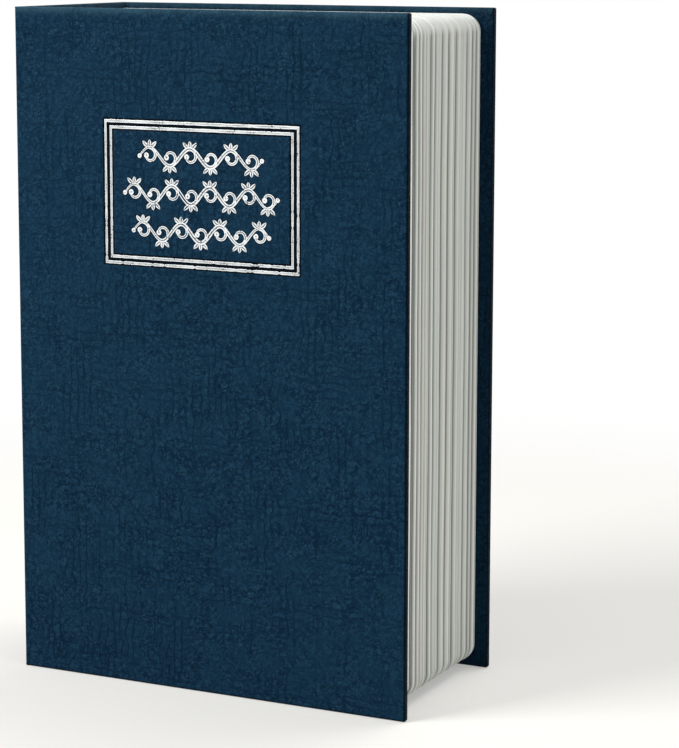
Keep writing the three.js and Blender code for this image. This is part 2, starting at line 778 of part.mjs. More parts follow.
function addLockScrews() {
    const headY = recessBackY + weldLine;
    lockScrewZs.forEach((z, i) => {
        const shank = rodY(lockX, z, lockScrewEnd, headY, screwRadius, smallSides);
        const head = rodY(lockX, z, headY, headY + screwHeadHeight, screwHeadRadius, smallSides);
        const slotY = headY + screwHeadHeight - screwSlotDepth;
        const slot = block(
            lockX - screwHeadRadius - overcut, lockX + screwHeadRadius + overcut,
            slotY, slotY + screwSlotDepth + overcut,
            z - screwSlotWidth / 2, z + screwSlotWidth / 2,
        );
        addPiece(`lock_screw_${i + 1}`, 'steel', shank.add(head).subtract(slot));
    });
}

// The gilt bezel is a plate under the black one, and shows as a border all round it.
function addLockFace() {
    const x0 = lockX - bezelWidth / 2;
    const x1 = lockX + bezelWidth / 2;
    const bezelShape = roundedRectangle(x0, x1, bezelZ0, bezelZ1, bezelRadius, bezelRadius);
    const bodyHole = block(
        bodyX0 - bodyPlay, bodyX1 + bodyPlay,
        bezelY0 - overcut, bezelY1 + overcut,
        bodyZ0 - bodyPlay, bodyZ1 + bodyPlay,
    );
    const screwHoles = lockScrewZs.map((z) => {
        const start = lockScrewEnd - screwPlay;
        return rodY(lockX, z, start, bezelY1 + overcut, screwRadius + screwPlay, smallSides);
    });
    addPiece('lock_bezel', 'gold', cut(slabOf(bezelShape, bezelY0, bezelY1), [bodyHole, ...screwHoles]));

    const faceRadius = Math.max(bezelRadius - bezelBorder, glueLine);
    const faceShape = roundedRectangle(
        x0 + bezelBorder, x1 - bezelBorder,
        bezelZ0 + bezelBorder, bezelZ1 - bezelBorder,
        faceRadius, faceRadius,
    );
    // Each window shows one whole number and, on its spine side, part of the one before. On its
    // other side the land covers the next number.
    const wheelUnderPlate = Math.sqrt(wheelRadius ** 2 - (wheelY - plateY1) ** 2);
    const landX0 = wheelX + wheelUnderPlate + wheelWindowPlay;
    const windowHalfHeight = wheelHeight / 2 + runningPlay * 2;
    const tools = [rodY(lockX, knobZ, plateY0 - overcut, plateY1 + overcut, spindleRadius + spindlePlay)];
    for (const z of wheelZs) {
        tools.push(block(
            wheelX - wheelWindowReach, landX0,
            plateY0 - overcut, plateY1 + overcut,
            z - windowHalfHeight, z + windowHalfHeight,
        ));
        tools.push(block(
            landX0 - glueLine, landX0 + landWidth,
            plateY0 - overcut, plateY0 + landDepth,
            z - windowHalfHeight, z + windowHalfHeight,
        ));
    }
    addPiece('lock_plate', 'blackPlastic', cut(slabOf(faceShape, plateY0, plateY1), tools));

    wheelZs.forEach((z, i) => {
        const markX0 = landX0 + (landWidth - indexLength) / 2;
        const markY1 = plateY0 + landDepth - weldLine;
        addPiece(`index_mark_${i + 1}`, 'whitePaint', block(
            markX0, markX0 + indexLength,
            markY1 - indexThickness, markY1,
            z - indexWidth / 2, z + indexWidth / 2,
        ));
    });
}

// The lock body: a chamber for the wheels between two solid ends, which carry the axle and
// the spindle. The fence slides in a slot in the upper end.
function addLockBody() {
    const fenceHalf = fenceWidth / 2 + fenceGap;
    const spindleBore = spindleRadius + spindlePlay;
    const tools = [
        block(
            bodyX0 + chamberSideWall, bodyX1 - chamberSideWall,
            bodyY0 - overcut, bodyY1 + overcut,
            chamberZ0, chamberZ1,
        ),
        block(
            wheelX - fenceHalf, wheelX + fenceHalf,
            fenceY0 - fenceGap, bodyY1 + overcut,
            chamberZ1 - overcut, knobZ,
        ),
        rodY(lockX, knobZ, bodyY0 - overcut, bodyY1 + overcut, spindleBore),
        rodZ(
            wheelX, wheelY,
            chamberZ0 - axleSeat - runningPlay, chamberZ1 + axleSeat + runningPlay,
            axleRadius + runningPlay, smallSides,
        ),
    ];
    for (const hole of coverScrewPlaces) {
        const end = bodyY1 - coverScrewLength - screwPlay;
        tools.push(rodY(hole.x, hole.z, end, bodyY1 + overcut, screwRadius + screwPlay, smallSides));
    }
    addPiece('lock_body', 'blackPlastic', cut(
        block(bodyX0, bodyX1, bodyY0, bodyY1, bodyZ0, bodyZ1),
        tools,
    ));
}

// The back cover's screws stand in the solid ends of the body, clear of the axle and the bore.
const coverScrewInset = 3;
const coverScrewPlaces = [
    { x: bodyX1 - coverScrewInset, z: bodyZ0 + coverScrewInset },
    { x: bodyX1 - coverScrewInset, z: chamberZ1 + coverScrewInset },
];

function addLockBack() {
    const slotHalf = leverStem / 2 + leverPlay;
    const tools = [
        rodY(lockX, knobZ, backCoverY0 - overcut, backCoverY1 + overcut, spindleRadius + spindlePlay),
        block(
            leverX - slotHalf, leverX + slotHalf,
            backCoverY0 - overcut, backCoverY1 + overcut,
            leverZ - slotHalf, leverZ + leverTravel + slotHalf,
        ),
    ];
    for (const hole of coverScrewPlaces) {
        const bore = screwRadius + screwPlay;
        tools.push(rodY(hole.x, hole.z, backCoverY0 - overcut, backCoverY1 + overcut, bore, smallSides));
    }
    const plate = block(bodyX0, bodyX1, backCoverY0, backCoverY1, bodyZ0, bodyZ1);
    addPiece('lock_back_cover', 'steel', cut(plate, tools));

    const headY = backCoverY1 + weldLine;
    coverScrewPlaces.forEach((hole, i) => {
        const end = bodyY1 - coverScrewLength;
        const shank = rodY(hole.x, hole.z, end, headY, screwRadius, smallSides);
        const head = rodY(hole.x, hole.z, headY, headY + lowHeadHeight, screwHeadRadius, smallSides);
        addPiece(`back_cover_screw_${i + 1}`, 'steel', shank.add(head));
    });
}

// The outline of a number wheel: one shallow arc for each digit, with a notch between arcs.
function wheelShape(x, y) {
    const shape = new THREE.Shape();
    const step = (2 * Math.PI) / wheelDigits;
    const notchHalf = (step * wheelNotchShare) / 2;
    const arcSteps = 3;
    for (let i = 0; i < wheelDigits; i += 1) {
        const start = (i - 0.5) * step + notchHalf - Math.PI / 2;
        const end = (i + 0.5) * step - notchHalf - Math.PI / 2;
        for (let j = 0; j <= arcSteps; j += 1) {
            const angle = start + ((end - start) * j) / arcSteps;
            const point = [x + wheelRadius * Math.cos(angle), y + wheelRadius * Math.sin(angle)];
            if (i === 0 && j === 0) shape.moveTo(...point);
            else shape.lineTo(...point);
        }
        const notch = wheelRadius - wheelNotchDepth;
        const between = (i + 0.5) * step - Math.PI / 2;
        shape.lineTo(x + notch * Math.cos(between), y + notch * Math.sin(between));
    }
    return shape;
}

function addWheels() {
    const bore = sleeveRadius + runningPlay / 2;
    wheelZs.forEach((z, i) => {
        const z0 = z - wheelHeight / 2;
        const z1 = z + wheelHeight / 2;
        const hole = rodZ(wheelX, wheelY, z0 - overcut, z1 + overcut, bore, smallSides);
        const wheel = prismOf(wheelShape(wheelX, wheelY), z0, z1).subtract(hole);
        addPiece(`dial_wheel_${i + 1}`, 'blackPlastic', wheel);
        const sleeveHalf = wheelPitch / 2 - runningPlay;
        addPiece(`dial_sleeve_${i + 1}`, 'steel', cut(
            rodZ(wheelX, wheelY, z - sleeveHalf, z + sleeveHalf, sleeveRadius - runningPlay / 2, smallSides),
            [rodZ(wheelX, wheelY, z - wheelPitch, z + wheelPitch, axleRadius + runningPlay, smallSides)],
        ));
    });
    const axle = rodZ(
        wheelX, wheelY,
        chamberZ0 - axleSeat, chamberZ1 + axleSeat,
        axleRadius, smallSides,
    );
    addPiece('dial_axle', 'steel', axle);
}

// A leaf spring stands on the chamber's spine-side wall, with one finger for each wheel.
function addDetentSpring() {
    const x0 = bodyX0 + chamberSideWall + weldLine;
    const strip = block(
        x0, x0 + springThickness,
        bodyY0 + chamberEndPlay, bodyY1 - chamberEndPlay,
        chamberZ0 + springGap, chamberZ1 - springGap,
    );
    const fingers = wheelZs.map((z) => block(
        x0, wheelX - wheelRadius - springGap,
        wheelY - springFingerHeight / 2, wheelY + springFingerHeight / 2,
        z - springFingerHeight / 2, z + springFingerHeight / 2,
    ));
    addPiece('detent_spring', 'steel', union([strip, ...fingers]));
}

// The knob is a stepped disc with a raised grip across its face.
function addKnob() {
    const baseY0 = knobY1 - knobBaseHeight;
    const faceY = knobY0 + gripDepth;
    const bevelY = faceY + knobChamfer;
    const base = rodY(lockX, knobZ, baseY0, knobY1, knobBaseRadius);
    const drum = rodY(lockX, knobZ, bevelY, knobY1, knobRadius);
    const bevel = rodY(lockX, knobZ, faceY, bevelY, knobRadius - knobChamfer, roundSides, knobRadius);
    const gripHalf = knobRadius - 2 * knobChamfer;
    const grip = placedSolid(new THREE.BoxGeometry(gripWidth, 1, 2 * gripHalf), (u, v, w) => {
        const x = u * Math.cos(gripTilt) - w * Math.sin(gripTilt);
        const z = u * Math.sin(gripTilt) + w * Math.cos(gripTilt);
        return [lockX + x, v < 0 ? knobY0 : bevelY, knobZ + z];
    });
    const socketEnd = knobY1 - knobSocketDepth;
    const socket = rodY(lockX, knobZ, socketEnd, knobY1 + overcut, spindleRadius + runningPlay);
    addPiece('knob', 'blackPlastic', union([base, drum, bevel, grip]).subtract(socket));

    const half = spindleSquare / 2;
    addPiece('knob_spindle', 'steel', union([
        rodY(lockX, knobZ, socketEnd + spindlePlay, camY0 - weldLine, spindleRadius),
        block(lockX - half, lockX + half, camY0 - camGap, camY1, knobZ - half, knobZ + half),
        rodY(lockX, knobZ, camY1 - weldLine, spindleY1, spindleThreadRadius, smallSides),
    ]));
}

// The cam points up at rest, which is unlocked. A quarter turn brings it under the strike.
function addCam() {
    const half = camWidth / 2;
    const squareHalf = spindleSquare / 2 + runningPlay;
    const tip = new THREE.Shape();
    tip.moveTo(lockX - half, knobZ);
    tip.lineTo(lockX + half, knobZ);
    tip.lineTo(lockX + half, knobZ + camReach - half);
    tip.absarc(lockX, knobZ + camReach - half, half, 0, Math.PI);
    const hub = rodY(lockX, knobZ, camY0, camY1, camHubRadius);
    const square = block(
        lockX - squareHalf, lockX + squareHalf,
        camY0 - overcut, camY1 + overcut,
        knobZ - squareHalf, knobZ + squareHalf,
    );
    addPiece('latch_cam', 'steel', slabOf(tip, camY0, camY1).add(hub).subtract(square));
    const bore = spindleThreadRadius + runningPlay;
    addPiece('cam_nut', 'steel', cut(
        rodY(lockX, knobZ, nutY0, nutY1, nutRadius, 6),
        [rodY(lockX, knobZ, nutY0 - overcut, nutY1 + overcut, bore, smallSides)],
    ));
}

// The fence bar stands behind the wheels and stops short of the spindle.
function addFence() {
    const half = fenceWidth / 2;
    const headZ1 = knobZ - spindleRadius - fenceTravel - fenceGap * 2;
    addPiece('fence_bar', 'steel', block(
        wheelX - half, wheelX + half,
        fenceY0, Math.min(fenceY1, bodyY1 - fenceGap),
        chamberZ0 + fenceGap, headZ1,
    ));
}

// The code lever is pushed up its slot while a new code is set.
function addCodeLever() {
    const stem = leverStem / 2;
    const foot = leverFoot / 2;
    const pad = leverPadWidth / 2;
    const footY1 = backCoverY0 - leverPlay;
    const footY0 = footY1 - leverFootThickness;
    const padY0 = backCoverY1 + leverPlay;
    addPiece('code_lever', 'blackPlastic', union([
        block(leverX - stem, leverX + stem, footY1, padY0, leverZ - stem, leverZ + stem),
        block(leverX - foot, leverX + foot, footY0, footY1, leverZ - foot, leverZ + foot),
        block(
            leverX - pad, leverX + pad,
            padY0, padY0 + leverPadThickness,
            leverZ - leverPadHeight / 2, leverZ + leverPadHeight / 2,
        ),
    ]));
}

addPiece('back_cover_leatherette', 'leatherette', addCover('back', backY, -1));
addFrontStamping(addCover('front', frontY, 1));
addSpine();
addPageBlock();
addPageScrews();
addTray();
addStrike();
addHinge();
addLid();
addLockFace();
addLockBody();
addLockBack();
addLockScrews();
addWheels();
addDetentSpring();
addKnob();
addCam();
addFence();
addCodeLever();

export default object;
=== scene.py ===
import json
import math

import bmesh
import bpy
import numpy as np
from mathutils import Matrix, Vector


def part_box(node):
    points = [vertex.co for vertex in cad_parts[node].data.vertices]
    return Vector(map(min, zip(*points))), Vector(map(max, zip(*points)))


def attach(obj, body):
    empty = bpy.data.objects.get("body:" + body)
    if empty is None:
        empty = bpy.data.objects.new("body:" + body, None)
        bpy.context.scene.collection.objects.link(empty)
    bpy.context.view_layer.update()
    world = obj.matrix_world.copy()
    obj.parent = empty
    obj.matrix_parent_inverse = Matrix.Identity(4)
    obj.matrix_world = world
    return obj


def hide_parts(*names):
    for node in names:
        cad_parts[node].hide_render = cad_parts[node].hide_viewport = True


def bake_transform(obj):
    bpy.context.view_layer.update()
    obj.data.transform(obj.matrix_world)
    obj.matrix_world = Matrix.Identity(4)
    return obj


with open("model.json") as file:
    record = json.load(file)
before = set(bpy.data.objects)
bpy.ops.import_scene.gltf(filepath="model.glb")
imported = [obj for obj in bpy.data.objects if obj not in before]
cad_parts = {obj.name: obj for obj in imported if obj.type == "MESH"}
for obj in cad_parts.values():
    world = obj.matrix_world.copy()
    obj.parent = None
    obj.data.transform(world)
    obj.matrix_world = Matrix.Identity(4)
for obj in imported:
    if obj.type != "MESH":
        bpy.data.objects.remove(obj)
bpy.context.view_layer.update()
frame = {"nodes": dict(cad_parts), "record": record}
millimetre = 0.001
print("frame loaded")


def boxOf(node):  # lowest and highest corner of a CAD node, in millimetres
    low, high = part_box(node)
    return np.array(low) / millimetre, np.array(high) / millimetre


# Places that several pieces share
wrapLow, wrapHigh = boxOf("front_cover_leatherette")
stripLow, stripHigh = boxOf("front_joint_strip")
spineLow, spineHigh = boxOf("spine_leatherette")
pageLow, pageHigh = boxOf("page_frame")
lidLow, lidHigh = boxOf("lid")
bezelLow, bezelHigh = boxOf("lock_bezel")
bookHeight = wrapHigh[2]
spineX = stripLow[0]
foreX = wrapHigh[0]
frontY = wrapLow[1]
backY = boxOf("back_cover_leatherette")[1][1]
boardThickness = wrapHigh[1] - wrapLow[1]


# Mesh helpers

def smoothStep(value, low, high):
    # 3t^2 - 2t^3, where t is how far value lies from low to high, held between 0 and 1.
    t = np.clip((value - low) / (high - low), 0, 1)
    return t * t * (3 - 2 * t)


def latticeNoise(u, v, cellU, cellV, seed):
    # Random heights from 0 to 1 on a lattice of cellU by cellV, joined both ways by the smooth step.
    size = 64
    lattice = np.random.default_rng(seed).random((size, size))
    a, b = np.asarray(u) / cellU, np.asarray(v) / cellV
    i, j = np.floor(a).astype(int), np.floor(b).astype(int)
    s, t = smoothStep(a - i, 0, 1), smoothStep(b - j, 0, 1)

    def corner(p, q):
        return lattice[p % size, q % size]

    low = corner(i, j) * (1 - s) + corner(i + 1, j) * s
    high = corner(i, j + 1) * (1 - s) + corner(i + 1, j + 1) * s
    return low * (1 - t) + high * t


def stations(low, high, pitch, marks=()):
    # Even steps from low to high, with the marks put in and the steps nearest to each mark left out.
    even = np.linspace(low, high, max(2, int(round((high - low) / pitch)) + 1))
    inside = np.array([m for m in marks if low < m < high])
    if len(inside) == 0:
        return even
    clear = np.abs(even[:, None] - inside[None, :]).min(1) > 0.3 * pitch
    clear[[0, -1]] = True
    return np.unique(np.concatenate([even[clear], inside]))


def gridQuads(ids):  # the faces between the neighbouring points of a grid
    return np.stack([ids[:-1, :-1], ids[1:, :-1], ids[1:, 1:], ids[:-1, 1:]], -1).reshape(-1, 4)


def skin(rings, loop=False):
    # Quads between neighbouring rings of an n x m x 3 array, each ring closed on itself, with a face at both ends
    # unless the rings go round in a loop.
    count, size = rings.shape[:2]
    ids = np.arange(count * size).reshape(count, size)
    here = ids if loop else ids[:-1]
    after = np.roll(ids, -1, 0) if loop else ids[1:]
    quads = np.stack([here, np.roll(here, -1, 1), np.roll(after, -1, 1), after], -1)
    faces = quads.reshape(-1, 4).tolist()
    if not loop:
        faces += [ids[0][::-1].tolist(), ids[-1].tolist()]
    return rings.reshape(-1, 3), faces


def joined(parts):
    # Several (points, faces) pairs as one.
    points, faces, start = [], [], 0
    for partPoints, partFaces in parts:
        points.append(partPoints)
        faces += [[start + k for k in face] for face in partFaces]
        start += len(partPoints)
    return np.concatenate(points), faces


def makePiece(name, shape, slot, body=None, replaces=(), sharpAngle=40, marks=(), paint=None):
    # A mesh whose doubles are merged, whose faces point outwards and whose edges are sharp past an angle. It rides
    # on its body, if it is given one. Marks are values on its points, which its material reads by name. The material
    # is its slot's own, or the named one.
    points, faces = shape
    mesh = bpy.data.meshes.new(name)
    mesh.from_pydata((np.asarray(points) * millimetre).tolist(), [], faces)
    for mark, values in dict(marks).items():
        mesh.attributes.new(mark, "FLOAT", "POINT").data.foreach_set("value", values.astype(np.float32))
    work = bmesh.new()
    work.from_mesh(mesh)
    bmesh.ops.remove_doubles(work, verts=work.verts, dist=2e-6)
    bmesh.ops.recalc_face_normals(work, faces=work.faces)
    work.to_mesh(mesh)
    work.free()
    mesh.shade_smooth()
    mesh.set_sharp_from_angle(angle=math.radians(sharpAngle))
    piece = bpy.data.objects.new(name, mesh)
    bpy.context.scene.collection.objects.link(piece)
    mesh.materials.append(paints[paint or slot])
    if replaces:
        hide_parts(*replaces)
    if body:
        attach(piece, body)
    return piece


def smoothLine(points, closed, rounds=2):
    # Corners cut at a quarter and three quarters of each side, again and again, which rounds them.
    line = np.asarray(points, float)
    for _ in range(rounds):
        after = np.roll(line, -1, 0) if closed else line[1:]
        here = line if closed else line[:-1]
        cut = np.stack([0.75 * here + 0.25 * after, 0.25 * here + 0.75 * after], 1).reshape(-1, 2)
        line = cut if closed else np.concatenate([line[:1], cut, line[-1:]])
    return line


def leftOf(line, closed=False):  # unit vectors square to a flat line, to the left of its way
    along = np.roll(line, -1, 0) - np.roll(line, 1, 0) if closed else np.gradient(line, axis=0)
    along = along / np.linalg.norm(along, axis=1)[:, None]
    return np.stack([-along[:, 1], along[:, 0]], 1)


def ribbon(line, halfWidth, section, closed=False):
    # A section of (share of the half width, height) points carried along a flat line, square to it.
    half = np.broadcast_to(halfWidth, len(line))[:, None, None]
    share = np.array([s for s, _ in section])[None, :, None]
    flat = line[:, None, :] + leftOf(line, closed)[:, None, :] * share * half
    height = np.broadcast_to([h for _, h in section], flat.shape[:2])
    return np.stack([flat[..., 0], flat[..., 1], height], -1)


def turned(profile, centre, angle):
    # Rings of (radius, height) about a centre, as (first, second, height); a radius may change with the angle.
    return np.array([np.stack([centre[0] + radius * np.cos(angle), centre[1] + radius * np.sin(angle),
                               np.full(len(angle), height)], 1) for radius, height in profile])


def channelPath(x1, z0, z1, radius, xs, zs, turn):
    # Round tail, fore edge and head, as (centre x, centre z, direction x, direction z): a straight stretch has one
    # direction, square to it, and a corner one that turns.
    return np.array([(x, z0 + radius, 0, -1) for x in xs]
                    + [(x1 - radius, z0 + radius, math.sin(a), -math.cos(a)) for a in turn]
                    + [(x1 - radius, z, 1, 0) for z in zs]
                    + [(x1 - radius, z1 - radius, math.cos(a), math.sin(a)) for a in turn]
                    + [(x, z1 - radius, 0, 1) for x in xs[::-1]])


def bandRings(outer, inner, low, high):  # rings of a band between two flat lines, from one height to another
    return np.array([[(*o, low), (*o, high), (*i, high), (*i, low)] for o, i in zip(outer, inner)])


def fullTurn(count, start=0.0):
    return np.linspace(start, start + 2 * math.pi, count, endpoint=False)


# Materials: expressions on sockets become Math nodes

class Signal:  # one output socket that can stand in sums, products and quotients
    def __init__(self, tree, socket):
        self.tree = tree
        self.socket = socket

    def __add__(self, other):
        return self.tree.math("ADD", self, other)

    def __sub__(self, other):
        return self.tree.math("SUBTRACT", self, other)

    def __rsub__(self, other):
        return self.tree.math("SUBTRACT", other, self)

    def __mul__(self, other):
        return self.tree.math("MULTIPLY", self, other)

    def __truediv__(self, other):
        return self.tree.math("DIVIDE", self, other)

    __radd__ = __add__
    __rmul__ = __mul__


class Tree:  # the node tree of a material or of the world, built by calls
    def __init__(self, owner):
        self.owner = owner
        owner.use_nodes = True
        self.nodes = owner.node_tree.nodes
        self.links = owner.node_tree.links
        self.nodes.clear()

    def node(self, kind, settings=(), sockets=(), out=0):
        made = self.nodes.new("ShaderNode" + kind)
        for key, value in dict(settings).items():
            setattr(made, key, value)
        for key, value in dict(sockets).items():
            socket = made.inputs[key]
            if isinstance(value, Signal):
                self.links.new(value.socket, socket)
            elif socket.type == "RGBA":
                socket.default_value = (*value, 1)
            else:
                socket.default_value = value
        return Signal(self, made.outputs[out]) if len(made.outputs) else made

    def math(self, operation, *values):
        return self.node("Math", {"operation": operation}, dict(enumerate(values)))

    def step(self, value, low, high, start=0.0, end=1.0):
        return self.node("MapRange", {"interpolation_type": "SMOOTHSTEP"},
                         {0: value, 1: low, 2: high, 3: start, 4: end})

    def seen(self):  # 1 for what the camera, gloss and glass see, and 0 for the light that falls on things
        rays = self.node("LightPath").socket.node.outputs
        camera, gloss, glass = (Signal(self, rays[f"Is {kind} Ray"]) for kind in ("Camera", "Glossy", "Transmission"))
        return self.math("MAXIMUM", self.math("MAXIMUM", camera, gloss), glass)


class Paint(Tree):  # a material that reads Object coordinates, in millimetres
    def __init__(self, name):
        super().__init__(bpy.data.materials.new(name))
        self.place = self.node("VectorMath", {"operation": "SCALE"},
                               {0: self.node("TexCoord", out=3), "Scale": 1 / millimetre})
        split = self.node("SeparateXYZ", {}, {0: self.place})
        self.x, self.y, self.z = (Signal(self, s) for s in split.socket.node.outputs)

    def vector(self, x, y, z=0.0):
        return self.node("CombineXYZ", {}, {0: x, 1: y, 2: z})

    def noise(self, vector, cell=1.0, detail=2.0, roughness=0.5):
        return self.node("TexNoise", {"noise_dimensions": "3D"},
                         {"Vector": vector, "Scale": 1 / cell, "Detail": detail, "Roughness": roughness})

    def stretched(self, sizes, detail=2.0, roughness=0.5):  # noise with its own size along x, y and z
        x, y, z = sizes
        return self.noise(self.vector(self.x / x, self.y / y, self.z / z), 1.0, detail, roughness)

    def mix(self, share, first, second):
        return self.node("Mix", {"data_type": "RGBA"}, {0: share, 6: first, 7: second}, out=2)

    def fall(self, value, low, high):
        return self.step(value, low, high, 1.0, 0.0)

    def mark(self, name):  # a value on the mesh's points
        return self.node("Attribute", {"attribute_name": name}, out=2)

    def bump(self, height, depth):  # depth in millimetres, for height from 0 to 1
        return self.node("Bump", {}, {"Height": height, "Strength": 1.0, "Distance": depth * millimetre})

    def finish(self, color, roughness, normal, **others):
        names = {"metallic": "Metallic", "specular": "Specular IOR Level", "coat": "Coat Weight",
                 "coatRoughness": "Coat Roughness", "sheen": "Sheen Weight",
                 "sheenRoughness": "Sheen Roughness"}
        sockets = {"Base Color": color, "Roughness": roughness, "Normal": normal}
        sockets.update({names[key]: value for key, value in others.items()})
        return self.end(self.node("BsdfPrincipled", {}, sockets))

    def end(self, surface):
        self.node("OutputMaterial", {}, {"Surface": surface})
        return self.owner


def linear(color, gain=1.0, lift=0.0):
    # A screen colour from 0 to 255 as linear light, times the gain and with the lift added.
    light = [c / 12.92 if c <= 0.04045 else ((c + 0.055) / 1.055) ** 2.4 for c in (v / 255 for v in color)]
    return tuple(min(1, c * gain + lift) for c in light)


leather = {
    "color": (8, 38, 60),
    "valley": (0, 20, 39),
    "crown": (28, 62, 86),
    # The darkest colour: painted shade for the pressed places, the tucked fold, the inner side, the boards' edges and
    # the shaded copy.
    "pressed": (2, 8, 14),
    "highlight": (58, 92, 108),     # painted highlight on the head edge and on the highest grains
    "evenShare": 0.3,            # of the plain colour in the grain's tint
    "pitch": 2.1,                # mean distance between the long folds, and half the width of one
    "half": 0.46,
    "foldShare": 0.75,
    "levelShare": 0.8,           # strength of the level folds beside the upright ones
    "sway": 3.4,                 # reach and size of the folds' sway
    "swaySize": 6.0,
    "band": (7.0, 22.0),         # width and length of a band of folds, and the noise over which it comes in
    "bandEdge": (0.46, 0.6),
    "worm": 2.1,                 # size and thinness of the short wrinkles between them
    "wormThin": 0.06,
    "wormShare": 0.7,
    "calm": 0.45,                # how far the wrinkles fade in the smoother patches
    "calmSize": 6.0,
    "calmEdge": (0.42, 0.6),
    "calmHeight": 0.7,
    "pebble": 0.95,
    "pebbleHeight": (0.32, 0.72, 0.35, 1.1),
    "specks": 0.28,              # how strongly a painted highlight lights the highest grains
    "speckSize": 0.6,
    "depth": 0.22,
    "roughness": 0.5,
    "gloss": 0.025,
    "sheen": 0.03,
    "wornSize": 38.0,
    "wornShare": 0.12,
    "headHighlight": (0.2, 2.4, 0.5, 0.0),
    "creaseLean": 0.34,          # the corner fold runs this far in for each millimetre down
    "creaseReach": 4.2,
    "creaseHalf": 0.22,
    "innerShade": 0.35,
    "edgeShade": 0.8,
    "edgeReach": (0.2, 0.7),
}


def leatherPaint(name, shade=1.0):
    # Long thin folds at swaying distances, upright and level, in bands that come and go; between them short
    # wrinkles where a noise crosses its middle, fading in the calmer patches, over a fine pebbled grain.
    paint = Paint(name)
    dark, highlight = linear(leather["pressed"]), linear(leather["highlight"])
    across = paint.x + paint.y
    sway = paint.noise(paint.vector(across, paint.z), leather["swaySize"], 1.0) * leather["sway"]
    band, reach = leather["band"]

    def lined(place, mask):
        offLine = paint.math("PINGPONG", place + 1000, leather["pitch"] / 2)
        return paint.fall(offLine, 0.0, leather["half"]) * paint.step(mask, *leather["bandEdge"])

    upright = lined(across + sway, paint.noise(paint.vector(across / band, paint.z / reach, 2.0)))
    level = lined(paint.z + sway, paint.noise(paint.vector(across / reach, paint.z / band, 11.0)))
    folds = paint.math("MAXIMUM", upright, level * leather["levelShare"]) * leather["foldShare"]
    patches = paint.noise(paint.place, leather["calmSize"])
    calm = paint.step(patches, *leather["calmEdge"]) * leather["calm"]
    crossing = paint.math("ABSOLUTE", paint.noise(paint.vector(across, paint.z), leather["worm"], 1.0) - 0.5)
    worms = paint.fall(crossing, 0.0, leather["wormThin"]) * (1 - calm) * leather["wormShare"]
    pebble = paint.noise(paint.place, leather["pebble"], 1.0, 0.5)
    grain = paint.step(pebble, *leather["pebbleHeight"]) * (1 - calm) + calm * leather["calmHeight"]
    height = grain * (1 - paint.math("MAXIMUM", folds, worms))

    # On the inside of each fore-edge corner the turned-in sheet is tucked along one slanting fold, sunk by the
    # bump and painted dark along its line as shade.
    inward = foreX - paint.x
    fromEnd = paint.math("MINIMUM", paint.z, bookHeight - paint.z)
    offLine = paint.math("ABSOLUTE", inward - fromEnd * leather["creaseLean"])
    depth = paint.math("ABSOLUTE", paint.y) - (backY - boardThickness)
    half, reach = leather["creaseHalf"], leather["creaseReach"]
    tucked = (paint.fall(offLine, half * 0.3, half) * paint.fall(fromEnd, reach - 1, reach)
              * paint.fall(depth, 0.2, 0.5))
    # Where the foil is pressed and along the tucked fold, the grain is flattened and the colour darkened as painted
    # shade.
    pressed = paint.mark("pressed") + tucked * 0.8
    relief = height * (1 - pressed) - tucked

    # Colour: the grain's tint, random worn patches, a painted highlight on the head edge and highest grains, then
    # painted shade where pressed or tucked, on what faces inwards, and on the board's fore edge and tail edge.
    # The tint follows the relief: darker in the grain's hollows and folds and lighter on its crowns, as painted shade
    # and painted highlight.
    tint = paint.mix(height, linear(leather["valley"]), linear(leather["crown"]))
    color = paint.mix(leather["evenShare"], tint, linear(leather["color"]))
    worn = paint.step(paint.noise(paint.place, leather["wornSize"]), 0.35, 0.75, 0.0, leather["wornShare"])
    color = paint.mix(worn, color, linear(leather["crown"]))
    # A painted highlight along the head edge, in patches.
    headLight = paint.step(bookHeight - paint.z, *leather["headHighlight"]) * paint.step(patches, 0.3, 0.6, 0.6, 1.0)
    grains = paint.noise(paint.place, leather["speckSize"], 1.0)
    # A painted highlight on the highest grains, outside the calm patches.
    specks = paint.step(grains, 0.6, 0.74) * (1 - calm) * leather["specks"]
    color = paint.mix(headLight + specks, color, highlight)
    color = paint.mix(pressed * 0.95, color, dark)
    # Painted shade on the boards' inner side, and a painted dark line along the fore edge and tail edge.
    innerSideShade = paint.step(depth, 0.3, 0.7, leather["innerShade"], 0.0)
    edge = paint.step(paint.math("MINIMUM", inward, paint.z), *leather["edgeReach"], leather["edgeShade"], 0.0)
    color = paint.mix(paint.math("MAXIMUM", innerSideShade, edge), color, dark)
    # A shaded copy of the leather: its colour pulled towards the darkest one, as painted shade.
    if shade < 1:
        color = paint.mix(1 - shade, color, dark)
    return paint.finish(color=color, roughness=leather["roughness"] + pebble * 0.12,
                        specular=leather["gloss"], sheen=leather["sheen"], sheenRoughness=0.35,
                        normal=paint.bump(relief, leather["depth"]))


foil = {"silver": (246, 249, 250), "dull": (88, 96, 96), "chip": (40, 55, 68), "roughness": 0.26,
        "grain": 0.45, "drift": 4.0, "specks": (0.8, 0.86)}


def foilPaint(name, rimDepth, troughDepth, troughShade):
    # Silver on the rims of each stamped line and dulled along its trough as painted shade, with a few specks where it
    # has not taken.
    paint = Paint(name)
    grain, drift = paint.noise(paint.place, foil["grain"]), paint.noise(paint.place, foil["drift"])
    speck = paint.step(grain + drift * 0.35, *foil["specks"])
    # Painted shade: the trough darker than the rims.
    trough = paint.step(paint.y - frontY, rimDepth, troughDepth)
    dull = trough * paint.step(drift, 0.3, 0.6, 0.45, 1.0) * troughShade + paint.step(grain, 0.5, 0.75, 0.0, 0.25)
    silver = paint.mix(dull, linear(foil["silver"]), linear(foil["dull"]))
    color = paint.mix(speck, silver, linear(foil["chip"]))
    return paint.finish(color=color, metallic=0.7 - speck * 0.7, roughness=foil["roughness"] + grain * 0.2,
                        normal=paint.bump(grain, 0.03))


